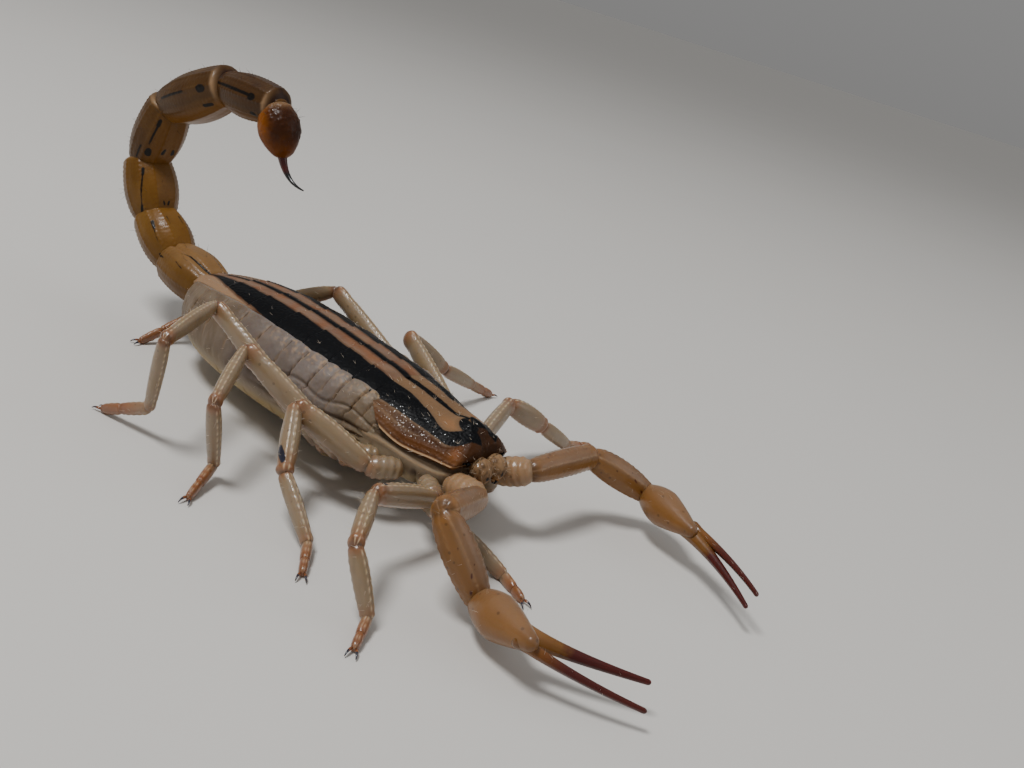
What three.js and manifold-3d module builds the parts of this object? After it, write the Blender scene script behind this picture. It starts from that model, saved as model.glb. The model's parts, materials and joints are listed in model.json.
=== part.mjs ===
// A striped scorpion standing at rest, life size, in millimetres.
// The head points to -Y, the animal's left side is +X, up is +Z, and its feet stand on z = 0.
// Every shell plate, limb joint and tail ring is one solid; nothing moves.

import * as THREE from 'three';
import { mergeVertices } from 'three/addons/utils/BufferGeometryUtils.js';
import Module from 'manifold-3d';

const wasm = await Module();
wasm.setup();

// ---------------------------------------------------------------- driving dimensions

const GAP = 0.04;            // clearance kept between neighbouring shells
const OVERRUN = 0.3;         // how far a rounded joint end runs past its joint, in radii
const FLOOR_DEPTH = 4;       // depth of the block that trims the feet flat

const CARAPACE_FRONT = -10.3;
const CARAPACE_REAR = -4.5;
const TRUNK_REAR = 10.4;
const SECTION_POWER = 2.4;   // 2 is an ellipse, more is boxier

// The trunk from the waist to the tail: y, half width, underside z, back z.
const TRUNK_STATIONS = [
  [CARAPACE_REAR, 3.15, 1.55, 5.60],
  [-3.0, 3.35, 1.15, 5.75],
  [-0.6, 3.50, 0.75, 5.90],
  [2.4, 3.55, 0.65, 6.00],
  [5.4, 3.45, 0.75, 5.92],
  [7.6, 3.10, 0.95, 5.60],
  [9.4, 2.45, 1.45, 5.15],
  [TRUNK_REAR, 1.80, 2.10, 4.80],
];

// The carapace: y, half width, margin z, crown z.
const CARAPACE_STATIONS = [
  [CARAPACE_FRONT, 1.75, 3.75, 4.60],
  [-9.9, 2.05, 3.78, 4.88],
  [-8.9, 2.35, 3.90, 5.12],
  [-7.2, 2.75, 4.10, 5.36],
  [-5.6, 3.02, 4.28, 5.54],
  [CARAPACE_REAR - GAP, 3.06, 4.36, 5.60],
];
const CARAPACE_EDGE = 0.5;   // thickness below the margin

// The leg bases under the carapace: y, half width, underside z, top z.
const COXA_STATIONS = [
  [-10.1, 1.5, 2.50, 3.60],
  [-9.4, 2.1, 2.15, 3.80],
  [-7.0, 2.65, 1.95, 4.10],
  [CARAPACE_REAR - GAP, 2.80, 1.70, 4.30],
];

// Back plates from front to rear: length, half width at the front, half width at the rear.
const TERGITES = [
  [1.3, 2.45, 2.62],
  [1.7, 2.48, 2.72],
  [1.9, 2.55, 2.82],
  [2.1, 2.62, 2.86],
  [2.3, 2.62, 2.82],
  [2.5, 2.50, 2.66],
  [3.1, 2.40, 1.45],
];
const TERGITE_DEPTH = 1.25;  // from the crown of the back down to the plate's floor
const TERGITE_LIP = 0.10;    // how far the rear edge of a plate stands proud

const EYE_RADIUS = 0.30;
const EYE_PLACE = new THREE.Vector3(0.38, -9.0, 5.06);
const LATERAL_EYE_RADIUS = 0.17;
const LATERAL_EYES = 3;

const CHELICERA = { spread: 0.63, back: -9.9, front: -11.5, top: 4.0, tip: 3.15, radius: 0.6 };
const PECTINE = { root: 0.35, reach: 2.5, y: -4.3, sweep: 1.7, z: 1.05, thick: 0.5, width: 0.9 };

// Tail rings from the body to the telson: length, thickness at the middle, pitch in degrees.
const TAIL_ROOT = new THREE.Vector3(0, 10.35, 3.9);
const TAIL_RINGS = [
  [3.55, 3.05, 6],
  [3.15, 2.85, 33],
  [3.20, 2.95, 61],
  [3.80, 2.75, 110],
  [5.10, 2.75, 153],
  [3.90, 2.30, 178],
];
const VESICLE = { length: 2.3, thickness: 2.15, pitch: 241 };
const STING = { radius: 0.32, tip: 0.15, drop: 1.35, reach: 2.1 };

// Legs by pair, front to rear: where the hip sits, and the length and thickness of each joint.
const LEG_PAIRS = [
  { hip: [2.3, -8.9, 2.7], trochanter: [1.5, 1.05], femur: [4.1, 1.05], patella: [3.2, 1.0], tibia: [2.9, 0.78],
    tarsus: [1.7, 0.58] },
  { hip: [2.6, -7.6, 2.7], trochanter: [1.6, 1.1], femur: [4.2, 1.2], patella: [3.35, 1.15], tibia: [3.3, 0.82],
    tarsus: [1.9, 0.6] },
  { hip: [2.7, -6.3, 2.7], trochanter: [1.8, 1.1], femur: [6.6, 1.15], patella: [4.2, 0.9], tibia: [3.5, 0.78],
    tarsus: [2.4, 0.58] },
  { hip: [2.6, -5.0, 2.7], trochanter: [2.1, 1.1], femur: [8.5, 1.05], patella: [5.2, 0.88], tibia: [4.3, 0.72],
    tarsus: [3.2, 0.58] },
];

// How each leg is held: [heading, lift] in degrees, where heading 0 is straight ahead, 90 straight out to
// that side and 180 straight back. The tarsus only has a heading, because it comes down to the floor.
const LEG_POSE = {
  right: [
    { trochanter: [32, -2], femur: [93, 15], patella: [54, -12], tibia: [-9, -62], tarsus: 59 },
    { trochanter: [122, -2], femur: [152, 23], patella: [41, -37], tibia: [10, -34], tarsus: 46 },
    { trochanter: [133, -11], femur: [162, 27], patella: [54, -17], tibia: [-107, -73], tarsus: 61 },
    { trochanter: [146, -18], femur: [171, 27], patella: [61, -3], tibia: [-147, -71], tarsus: 172 },
  ],
  left: [
    { trochanter: [73, -74], femur: [-102, 0], patella: [-16, 4], tibia: [20, -25], tarsus: -20 },
    { trochanter: [119, -13], femur: [108, 15], patella: [77, -26], tibia: [83, -29], tarsus: 76 },
    { trochanter: [128, 0], femur: [164, 19], patella: [83, -33], tibia: [90, -24], tarsus: 89 },
    { trochanter: [162, 15], femur: [175, 18], patella: [-171, -31], tibia: [-129, -22], tarsus: -97 },
  ],
};

// Pincer arms: length and thickness of each joint, and how each arm is held.
const ARM = { root: [1.55, -9.7, 2.85], trochanter: [1.9, 1.45], femur: [4.9, 1.4], patella: [4.1, 1.7],
  palm: [4.1, 2.15], finger: [5.1, 0.7] };
const FINGER_GAP = 0.42;     // from the palm's axis to the root of each finger
const FINGER_BOW = 0.35;     // how far the fingers arch outwards
const ARM_POSE = {
  right: { trochanter: [8, 9], femur: [72, 15], patella: [-27, -53], palm: [24, 15], fixed: [-43, -8],
    movable: [-30, -14] },
  left: { trochanter: [22, 22], femur: [87, 0], patella: [52, -23], palm: [-26, 5], fixed: [-25, -10],
    movable: [-22, -2] },
};

// ---------------------------------------------------------------- finishes

const finish = (color, roughness) => new THREE.MeshStandardMaterial({ color, roughness, metalness: 0 });
const FINISH = {
  stripe: finish('#2a2422', 0.35),
  honey: finish('#b98a56', 0.4),
  pale: finish('#cbb089', 0.45),
  tail: finish('#a8743c', 0.35),
  amber: finish('#b0713a', 0.3),
  dark: finish('#4a1f14', 0.25),
  eye: finish('#0b0908', 0.1),
};

// ---------------------------------------------------------------- solids from three.js geometry

function toSolid(geometry) {
  geometry.deleteAttribute('normal');
  geometry.deleteAttribute('uv');
  const merged = mergeVertices(geometry, 1e-4);
  return new wasm.Manifold(new wasm.Mesh({
    numProp: 3,
    vertProperties: new Float32Array(merged.attributes.position.array),
    triVerts: new Uint32Array(merged.index.array),
  }));
}

function toMesh(name, solid, material) {
  const { vertProperties, triVerts } = solid.getMesh();
  const geometry = new THREE.BufferGeometry();
  geometry.setAttribute('position', new THREE.BufferAttribute(new Float32Array(vertProperties), 3));
  geometry.setIndex(new THREE.BufferAttribute(new Uint32Array(triVerts), 1));
  geometry.computeVertexNormals();
  const mesh = new THREE.Mesh(geometry, material);
  mesh.name = name;
  return mesh;
}

const join = (...solids) => solids.reduce((sum, solid) => sum.add(solid));
const largest = (solid) => solid.decompose().sort((a, b) => b.volume() - a.volume())[0];
const cut = (solid, ...tools) => largest(tools.reduce((left, tool) => left.subtract(tool), solid));
const rounded = (value, power) => Math.sign(value) * Math.abs(value) ** (2 / power);

// Moves every vertex of a unit cylinder: place(t, x, z) gets the run along it and the point on its circle.
function warpCylinder(sides, steps, place) {
  const geometry = new THREE.CylinderGeometry(1, 1, 1, sides, steps);
  const position = geometry.attributes.position;
  for (let i = 0; i < position.count; i += 1) {
    const point = place(position.getY(i) + 0.5, position.getX(i), position.getZ(i));
    position.setXYZ(i, point.x, point.y, point.z);
  }
  return toSolid(geometry);
}

// A body of changing section along Y. Each station is y, half width, underside z, back z.
function loft(stations, sides, level, grow = 0) {
  const steps = stations.length - 1;
  return warpCylinder(sides, steps, (t, x, z) => {
    const row = Math.round(t * steps);
    const [y, halfWidth, bottom, top] = stations[row];
    const middle = THREE.MathUtils.lerp(bottom, top, level);
    const height = z > 0 ? top - middle : middle - bottom;
    const end = row === 0 ? -grow : row === steps ? grow : 0;
    return new THREE.Vector3(
      (halfWidth + grow) * rounded(x, SECTION_POWER),
      y + end,
      middle + (height + grow) * rounded(z, SECTION_POWER),
    );
  });
}

// A limb joint or tail ring: a tube of changing radius along a path, wider or flatter by `across`.
function sweep({ path, radius, across = 1, sides = 7, steps = 3, up = new THREE.Vector3(0, 0, 1) }, grow = 0) {
  return warpCylinder(sides, steps, (t, x, z) => {
    const tangent = path.getTangent(t);
    const side = new THREE.Vector3().crossVectors(tangent, up).normalize();
    const top = new THREE.Vector3().crossVectors(side, tangent);
    const end = t < 1e-6 ? -grow : t > 1 - 1e-6 ? grow : 0;
    const r = radius(t);
    return path.getPoint(t)
      .addScaledVector(side, x * (r * across + grow))
      .addScaledVector(top, z * (r + grow))
      .addScaledVector(tangent, end);
  });
}

// ---------------------------------------------------------------- directions and joints

function aim(side, [heading, lift], length) {
  const turn = THREE.MathUtils.degToRad(heading);
  const rise = THREE.MathUtils.degToRad(lift);
  return new THREE.Vector3(
    side * Math.sin(turn) * Math.cos(rise),
    -Math.cos(turn) * Math.cos(rise),
    Math.sin(rise),
  ).multiplyScalar(length);
}

// Barrel-shaped radius: narrow at both ends, fullest at `belly`.
function barrel(radius, start, end, belly = 0.5) {
  return (t) => {
    const near = t < belly ? t / belly : (1 - t) / (1 - belly);
    const edge = t < belly ? start : end;
    return radius * THREE.MathUtils.lerp(edge, 1, Math.sin(near * Math.PI / 2) ** 0.8);
  };
}

// A straight joint from a to b whose ends run on past the joint points.
function jointTube(a, b, thickness, shape, options = {}) {
  const direction = b.clone().sub(a).normalize();
  const run = OVERRUN * thickness / 2;
  const path = new THREE.LineCurve3(
    a.clone().addScaledVector(direction, -run),
    b.clone().addScaledVector(direction, run),
  );
  const steep = Math.abs(direction.z) > 0.9;
  const up = steep ? new THREE.Vector3(0, -1, 0) : new THREE.Vector3(0, 0, 1);
  return { path, radius: barrel(thickness / 2, ...shape), up, ...options };
}

const scorpion = new THREE.Group();
const add = (name, solid, material) => scorpion.add(toMesh(name, solid, material));
const SIDES = { right: -1, left: 1 };

const floorBlock = toSolid(new THREE.BoxGeometry(80, 80, FLOOR_DEPTH).translate(0, 0, -FLOOR_DEPTH / 2));

// ---------------------------------------------------------------- tail

function tailJoints() {
  const joints = [TAIL_ROOT.clone()];
  for (const [length, , pitch] of TAIL_RINGS) {
    joints.push(joints.at(-1).clone().add(aim(1, [180, pitch], length)));
  }
  return joints;
}

function ringSpec(joints, index) {
  const [, thickness] = TAIL_RINGS[index];
  return jointTube(joints[index], joints[index + 1], thickness, [0.62, 0.66, 0.5],
    { sides: 11, steps: 4, up: new THREE.Vector3(1, 0, 0) });
}

function vesicleSpec(joints) {
  const start = joints.at(-1);
  const end = start.clone().add(aim(1, [180, VESICLE.pitch], VESICLE.length));
  return jointTube(start, end, VESICLE.thickness, [0.6, 0.32, 0.45],
    { sides: 11, steps: 5, up: new THREE.Vector3(1, 0, 0) });
}

function stingSpec(joints) {
  const base = joints.at(-1).clone().add(aim(1, [180, VESICLE.pitch], VESICLE.length));
  const path = new THREE.QuadraticBezierCurve3(
    base,
    base.clone().add(new THREE.Vector3(0, -0.45, -STING.drop)),
    base.clone().add(new THREE.Vector3(0, -STING.reach, -STING.drop * 0.95)),
  );
  const radius = (t) => THREE.MathUtils.lerp(STING.radius, STING.tip, t ** 1.3);
  return { path, radius, sides: 7, steps: 5, up: new THREE.Vector3(1, 0, 0) };
}

function buildTail() {
  const joints = tailJoints();
  const specs = TAIL_RINGS.map((_, index) => ringSpec(joints, index));
  specs.push(vesicleSpec(joints), stingSpec(joints));
  const names = TAIL_RINGS.map((_, index) => `tail_ring_${index + 1}`).concat('telson_vesicle', 'telson_sting');
  specs.forEach((spec, index) => {
    const next = specs[index + 1];
    const solid = next ? cut(sweep(spec), sweep(next, GAP)) : sweep(spec);
    add(names[index], solid, index < 5 ? FINISH.tail : index < 7 ? FINISH.amber : FINISH.dark);
  });
  return sweep(specs[0], GAP);
}

// ---------------------------------------------------------------- legs and pincer arms

function legJoints(side, pair, pose) {
  const joints = [new THREE.Vector3(side * pair.hip[0], pair.hip[1], pair.hip[2])];
  for (const part of ['trochanter', 'femur', 'patella', 'tibia']) {
    joints.push(joints.at(-1).clone().add(aim(side, pose[part], pair[part][0])));
  }
  const ankle = joints.at(-1);
  const [length, thickness] = pair.tarsus;
  const drop = ankle.z - thickness * 0.3;
  const lift = -THREE.MathUtils.radToDeg(Math.asin(drop / length));
  joints.push(ankle.clone().add(aim(side, [pose.tarsus, lift], length)));
  return joints;
}

function buildLeg(sideName, index) {
  const side = SIDES[sideName];
  const pair = LEG_PAIRS[index];
  const joints = legJoints(side, pair, LEG_POSE[sideName][index]);
  const trochanter = jointTube(joints[0], joints[1], pair.trochanter[1], [0.7, 0.8, 0.5], { sides: 6, steps: 2 });
  const femur = jointTube(joints[1], joints[2], pair.femur[1], [0.7, 0.8, 0.55], { across: 0.8 });
  const patella = jointTube(joints[2], joints[3], pair.patella[1], [0.6, 0.72, 0.55], { across: 0.85 });
  const tibia = jointTube(joints[3], joints[4], pair.tibia[1], [0.8, 0.75, 0.35], { across: 0.85 });
  const tarsus = jointTube(joints[4], joints[5], pair.tarsus[1], [0.9, 0.8, 0.4], { sides: 6, steps: 2 });
  const name = `leg_${index + 1}_${sideName}`;
  add(`${name}_femur`, cut(join(sweep(trochanter), sweep(femur)), sweep(patella, GAP)), FINISH.pale);
  add(`${name}_patella`, cut(sweep(patella), sweep(tibia, GAP)), FINISH.pale);
  add(`${name}_tibia`, cut(join(sweep(tibia), sweep(tarsus)), floorBlock), FINISH.honey);
  return { hip: sweep(trochanter, GAP), thigh: sweep(femur, GAP) };
}

function armJoints(side, pose) {
  const joints = { root: new THREE.Vector3(side * ARM.root[0], ARM.root[1], ARM.root[2]) };
  const order = ['root', 'trochanter', 'femur', 'patella', 'palm'];
  for (let i = 1; i < order.length; i += 1) {
    const part = order[i];
    joints[part] = joints[order[i - 1]].clone().add(aim(side, pose[part], ARM[part][0]));
  }
  return joints;
}

// A pincer finger: a slender claw that leaves the palm beside its axis and arches outwards.
function fingerSpec(side, wrist, palmAim, aimed, offset) {
  const [length, thickness] = ARM.finger;
  const palmDirection = aim(side, palmAim, 1);
  const out = new THREE.Vector3(palmDirection.y, -palmDirection.x, 0).normalize().multiplyScalar(-side);
  const start = wrist.clone().addScaledVector(palmDirection, -0.9).addScaledVector(out, offset);
  const tip = wrist.clone().add(aim(side, aimed, length));
  const bend = start.clone().lerp(tip, 0.45).addScaledVector(out, 2 * FINGER_BOW);
  const path = new THREE.QuadraticBezierCurve3(start, bend, tip);
  const radius = (t) => (thickness / 2) * THREE.MathUtils.lerp(1.25, 0.6, t);
  return { path, radius, sides: 6, steps: 5 };
}

function buildArm(sideName) {
  const side = SIDES[sideName];
  const pose = ARM_POSE[sideName];
  const joints = armJoints(side, pose);
  const tube = (from, to, part, shape, options) =>
    jointTube(joints[from], joints[to], ARM[part][1], shape, { sides: 8, steps: 4, ...options });
  const trochanter = tube('root', 'trochanter', 'trochanter', [0.7, 0.8, 0.55], { steps: 3 });
  const femur = tube('trochanter', 'femur', 'femur', [0.72, 0.85, 0.6], {});
  const patella = tube('femur', 'patella', 'patella', [0.6, 0.62, 0.45], {});
  const palm = tube('patella', 'palm', 'palm', [0.45, 0.6, 0.45], { steps: 6, across: 0.9 });
  const fixed = fingerSpec(side, joints.palm, pose.palm, pose.fixed, -FINGER_GAP);
  const movable = fingerSpec(side, joints.palm, pose.palm, pose.movable, FINGER_GAP);
  const name = `pedipalp_${sideName}`;
  add(`${name}_trochanter`, cut(sweep(trochanter), sweep(femur, GAP)), FINISH.pale);
  add(`${name}_femur`, cut(sweep(femur), sweep(patella, GAP)), FINISH.honey);
  add(`${name}_patella`, cut(sweep(patella), sweep(palm, GAP)), FINISH.honey);
  add(`${name}_palm`, cut(join(sweep(palm), sweep(fixed)), sweep(movable, GAP)), FINISH.amber);
  add(`${name}_finger`, sweep(movable), FINISH.dark);
  return sweep(trochanter, GAP);
}

// ---------------------------------------------------------------- head

function eyeBall(side, grow = 0) {
  const ball = new THREE.SphereGeometry(EYE_RADIUS + grow, 9, 6);
  return toSolid(ball.translate(side * EYE_PLACE.x, EYE_PLACE.y, EYE_PLACE.z));
}

function lateralEyes(side) {
  const beads = [];
  for (let i = 0; i < LATERAL_EYES; i += 1) {
    const bead = new THREE.SphereGeometry(LATERAL_EYE_RADIUS, 5, 3);
    beads.push(toSolid(bead.translate(side * (1.72 + 0.1 * i), CARAPACE_FRONT + 0.3 + 0.32 * i, 4.12)));
  }
  return beads;
}

function cheliceraSpec(side) {
  const { spread, back, front, top, tip, radius } = CHELICERA;
  const path = new THREE.QuadraticBezierCurve3(
    new THREE.Vector3(side * spread, back, top - 0.45),
    new THREE.Vector3(side * spread, (back + front) / 2 - 0.3, top),
    new THREE.Vector3(side * spread, front, tip),
  );
  return { path, radius: barrel(radius, 0.8, 0.62, 0.5), sides: 8, steps: 4, across: 0.98 };
}

function carapaceSolid(grow = 0) {
  const stations = CARAPACE_STATIONS.map(([y, halfWidth, margin, crown]) =>
    [y, halfWidth, margin - CARAPACE_EDGE, crown, margin]);
  const sides = 18;
  const steps = stations.length - 1;
  return warpCylinder(sides, steps, (t, x, z) => {
    const row = Math.round(t * steps);
    const [y, halfWidth, bottom, crown, margin] = stations[row];
    const height = z > 0 ? crown - margin : margin - bottom;
    const end = row === 0 ? -grow : 0;
    return new THREE.Vector3(
      (halfWidth + grow) * rounded(x, SECTION_POWER),
      y + end,
      margin + (height + grow) * rounded(z, SECTION_POWER),
    );
  });
}

function buildHead(sockets) {
  const chelicerae = Object.values(SIDES).map(cheliceraSpec);
  const tubercle = new THREE.SphereGeometry(0.5, 8, 5).scale(1.05, 1.3, 0.8).translate(0, -8.95, EYE_PLACE.z - 0.12);
  const beads = Object.values(SIDES).flatMap(lateralEyes);
  const shield = join(carapaceSolid(), toSolid(tubercle), ...beads);
  const chelicerSockets = chelicerae.map((spec) => sweep(spec, GAP));
  add('carapace', cut(shield, ...chelicerSockets, ...sockets, eyeBall(-1, GAP), eyeBall(1, GAP)), FINISH.stripe);
  for (const [sideName, side] of Object.entries(SIDES)) {
    add(`eye_${sideName}`, eyeBall(side), FINISH.eye);
    add(`chelicera_${sideName}`, sweep(cheliceraSpec(side)), FINISH.amber);
  }
  const bases = loft(COXA_STATIONS, 14, 0.45);
  add('coxae', cut(bases, carapaceSolid(GAP), ...chelicerSockets, ...sockets), FINISH.pale);
}

// ---------------------------------------------------------------- trunk

function trunkAt(y) {
  const last = TRUNK_STATIONS.length - 1;
  const after = Math.min(last, Math.max(1, TRUNK_STATIONS.findIndex((station) => station[0] >= y)));
  const [a, b] = [TRUNK_STATIONS[after - 1], TRUNK_STATIONS[after]];
  const t = (y - a[0]) / (b[0] - a[0]);
  return a.map((value, index) => THREE.MathUtils.lerp(value, b[index], t));
}

// The plan of one back plate, drawn out upwards from its floor.
function plateBlock(front, rear, frontHalf, rearHalf, floor, grow = 0) {
  const outline = new THREE.Shape([
    new THREE.Vector2(-frontHalf - grow, front - grow),
    new THREE.Vector2(frontHalf + grow, front - grow),
    new THREE.Vector2(rearHalf + grow, rear + grow),
    new THREE.Vector2(-rearHalf - grow, rear + grow),
  ]);
  const block = new THREE.ExtrudeGeometry(outline, { depth: 4, bevelEnabled: false });
  return toSolid(block.translate(0, 0, floor - grow));
}

function buildTrunk(tailSocket, thighSockets) {
  const troughs = [];
  let front = CARAPACE_REAR;
  TERGITES.forEach(([length, frontHalf, rearHalf], index) => {
    const rear = front + length;
    const start = trunkAt(front + GAP / 2);
    const middle = trunkAt((front + rear) / 2);
    const end = trunkAt(rear - GAP / 2);
    const lift = (station, proud) => [station[0], station[1] + proud, station[2], station[3] + proud];
    const slice = loft([lift(start, 0.02), lift(middle, TERGITE_LIP / 2), lift(end, TERGITE_LIP)], 28, 0.45);
    const floor = Math.min(start[3], end[3]) - TERGITE_DEPTH;
    const plate = slice.intersect(plateBlock(front - 1, rear + 1, frontHalf, rearHalf, floor));
    const flat = plateBlock(front, rear, frontHalf, rearHalf, floor);
    add(`tergite_${index + 1}`, cut(plate.intersect(flat), tailSocket), FINISH.stripe);
    troughs.push(plateBlock(front, rear, frontHalf, rearHalf, floor, GAP));
    front = rear;
  });
  const belly = loft(TRUNK_STATIONS, 20, 0.45);
  add('belly', cut(belly, ...troughs, tailSocket, ...thighSockets), FINISH.pale);
}

function buildPectines() {
  for (const [sideName, side] of Object.entries(SIDES)) {
    const outline = new THREE.Shape([
      new THREE.Vector2(PECTINE.root * side, PECTINE.y),
      new THREE.Vector2(PECTINE.reach * side, PECTINE.y + PECTINE.sweep),
      new THREE.Vector2(PECTINE.reach * 0.92 * side, PECTINE.y + PECTINE.sweep + PECTINE.width * 0.7),
      new THREE.Vector2(PECTINE.root * side, PECTINE.y + PECTINE.width),
    ]);
    const comb = new THREE.ExtrudeGeometry(outline, { depth: PECTINE.thick, bevelEnabled: false });
    add(`pectine_${sideName}`, toSolid(comb.translate(0, 0, PECTINE.z - PECTINE.thick)), FINISH.pale);
  }
}

// ---------------------------------------------------------------- assembly

const tailSocket = buildTail();
const armSockets = Object.keys(SIDES).map(buildArm);
const legSockets = Object.keys(SIDES).flatMap((sideName) =>
  LEG_PAIRS.map((_, index) => buildLeg(sideName, index)));
buildHead(armSockets.concat(legSockets.map(({ hip }) => hip)));
const rearSockets = legSockets.filter((_, index) => index % LEG_PAIRS.length === LEG_PAIRS.length - 1);
buildTrunk(tailSocket, rearSockets.flatMap(({ hip, thigh }) => [hip, thigh]));
buildPectines();

// The origin is the middle of the animal's outline, on the floor.
const outline = new THREE.Box3().setFromObject(scorpion);
const centre = outline.getCenter(new THREE.Vector3());
scorpion.position.set(-centre.x, -centre.y, 0);
scorpion.updateMatrixWorld(true);

export default scorpion;
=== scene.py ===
"""A striped bark scorpion at rest, life size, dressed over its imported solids.

The head points to -Y, the animal's left side is +X and its feet stand on z = 0. Shapes are worked out
in millimetres in the animal's own frame, whose x is measured from its midline; home() puts them in place.
"""

import bisect
import functools
import json
import math
import random

import bmesh
import bpy
from mathutils import Matrix, Vector, noise

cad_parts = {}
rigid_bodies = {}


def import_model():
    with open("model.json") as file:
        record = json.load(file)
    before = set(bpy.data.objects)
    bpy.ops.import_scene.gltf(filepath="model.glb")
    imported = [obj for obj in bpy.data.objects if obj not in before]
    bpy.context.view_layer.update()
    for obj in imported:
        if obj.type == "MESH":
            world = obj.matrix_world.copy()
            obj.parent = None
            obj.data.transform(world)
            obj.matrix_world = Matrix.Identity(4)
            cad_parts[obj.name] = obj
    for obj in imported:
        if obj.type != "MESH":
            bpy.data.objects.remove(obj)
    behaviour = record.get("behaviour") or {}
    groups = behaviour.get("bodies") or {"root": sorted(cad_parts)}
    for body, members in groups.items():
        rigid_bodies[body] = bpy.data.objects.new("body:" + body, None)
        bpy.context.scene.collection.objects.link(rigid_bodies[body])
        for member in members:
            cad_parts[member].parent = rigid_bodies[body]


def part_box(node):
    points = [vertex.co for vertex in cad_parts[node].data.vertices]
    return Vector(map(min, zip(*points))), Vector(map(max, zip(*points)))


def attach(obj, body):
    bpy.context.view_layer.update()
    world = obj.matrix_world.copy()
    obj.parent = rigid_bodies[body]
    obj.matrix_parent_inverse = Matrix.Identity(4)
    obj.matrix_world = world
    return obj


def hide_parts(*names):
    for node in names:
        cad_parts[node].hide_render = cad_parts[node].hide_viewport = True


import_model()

bl_info = {
    "name": "Striped scorpion",
    "version": (1, 0, 0),
    "blender": (4, 5, 0),
    "location": "3D View > Sidebar > Scorpion",
    "description": "Builds a life-size striped scorpion, piece by piece, over its solids",
    "category": "Add Mesh",
}

# ---------------------------------------------------------------- measures of the animal, in millimetres

MM = 0.001
TAU = math.tau
WELD = 2e-7                 # metres: closer points of one skin are the same point
UP = Vector((0, 0, 1))
AHEAD = Vector((0, -1, 0))
SIDES = {"right": -1, "left": 1}

SECTION_POWER = 2.4         # 2 is an ellipse, more is boxier
WAIST = -4.5                # where the head shield ends and the trunk begins
PLATE_GAP = 0.02            # the first back plate starts this far behind the waist
OVERRUN = 0.15              # how far a joint's rounded end runs past the joint, in thicknesses

# The trunk from the waist to the tail: y, half width, underside z, back z.
TRUNK = (
    (-6.8, 2.50, 1.90, 4.70),
    (-4.5, 3.15, 1.55, 5.60),
    (-3.0, 3.35, 1.15, 5.75),
    (-0.6, 3.50, 0.75, 5.90),
    (2.4, 3.55, 0.65, 6.00),
    (5.4, 3.45, 0.75, 5.92),
    (7.6, 3.10, 0.95, 5.60),
    (9.4, 2.45, 1.45, 5.15),
    (10.4, 1.80, 2.10, 4.80),
)

# The head shield: y, half width, margin z, crown z.
SHIELD = (
    (-10.3, 1.75, 3.76, 4.76),
    (-9.9, 2.05, 3.82, 5.00),
    (-8.9, 2.38, 3.84, 5.18),
    (-7.2, 2.80, 3.80, 5.36),
    (-5.6, 3.05, 4.26, 5.54),
    (-4.4, 3.10, 4.50, 5.60),
)

# The leg bases under the head shield: y, half width, underside z, top z.
LEG_BASES = (
    (-10.1, 1.5, 2.50, 3.90),
    (-9.4, 2.05, 2.15, 4.05),
    (-7.0, 2.60, 1.95, 4.35),
    (-4.5, 2.80, 1.70, 4.60),
)

# Back plates from front to rear: length, half width at the front, half width at the rear.
BACK_PLATES = (
    (1.3, 2.45, 2.50),
    (1.7, 2.50, 2.54),
    (1.9, 2.54, 2.58),
    (2.1, 2.58, 2.56),
    (2.3, 2.56, 2.48),
    (2.5, 2.48, 2.30),
    (3.1, 2.30, 1.40),
)

# Furrows of the head shield: depth, half width, distance from the midline, how much that distance grows
# with y and from which y on, and the stretches of y over which the furrow comes in or fades out.
SHIELD_FURROWS = (
    (0.10, 0.16, 0, 0, 0, ((-8.3, -7.6),)),
    (0.16, 0.26, 0, 0, 0, ((-9.4, -10.0),)),
    (0.06, 0.20, 1.0, 0.35, -6.6, ((-7.4, -6.6), (-4.8, -5.4))),
    (0.04, 0.20, 1.75, -0.25, -8.0, ((-8.6, -8.0), (-6.6, -7.2))),
    (0.03, 0.25, 2.25, 0.1, -6.0, ((-8.4, -7.0),)),
)
EYE_MOUND = {"height": 0.22, "half_width": 0.72, "half_length": 0.78, "groove": 0.14}
FRONT_LOBE = {"height": 0.14, "x": 1.0, "y": -9.85}
EYE_RING = 0.42             # how far the black pigment round each middle eye reaches

# Where the creases of the flanks cross them, and how deep each is.
FLANK_CREASES = (
    (-6.6, 0.6), (-5.75, 0.7), (-5.05, 0.5), (-4.35, 1.0), (-3.25, 0.8), (-2.4, 0.45), (-1.55, 1.0),
    (-0.3, 1.0), (0.9, 0.8), (2.6, 0.6), (4.3, 0.6), (6.2, 0.6), (8.2, 0.5),
)
ROW_EDGE = 75               # degrees from the top, where the upper row of cushions meets the lower one
LONG_FOLDS = ((90, 2.5), (97, 1.5), (106, 0.0))     # degrees from the top, and the y where each fades
BREAST_PLATE_THICKNESS = 0.12
MEDIAN_LINE = 0.20          # half width of the dark line down the middle of the back

# The stripe down each side of the back: y, inner edge, outer edge, measured from the midline.
STRIPE = (
    (-10.15, 0.50, 0.52),
    (-9.9, 0.36, 0.82),
    (-9.6, 0.36, 1.18),
    (-9.3, 0.60, 1.52),
    (-9.0, 0.88, 1.74),
    (-8.6, 1.30, 1.80),
    (-8.1, 1.36, 1.82),
    (-7.2, 1.12, 1.92),
    (-6.2, 0.98, 2.08),
    (-5.0, 1.00, 2.27),
    (-3.6, 1.08, 2.45),
    (-1.8, 1.07, 2.50),
    (1.6, 1.00, 2.52),
    (3.2, 1.00, 2.42),
    (4.7, 1.03, 2.22),
    (6.4, 0.94, 1.92),
    (7.8, 0.76, 1.45),
    (9.6, 0.45, 0.72),
    (10.4, 0.38, 0.46),
)

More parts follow.
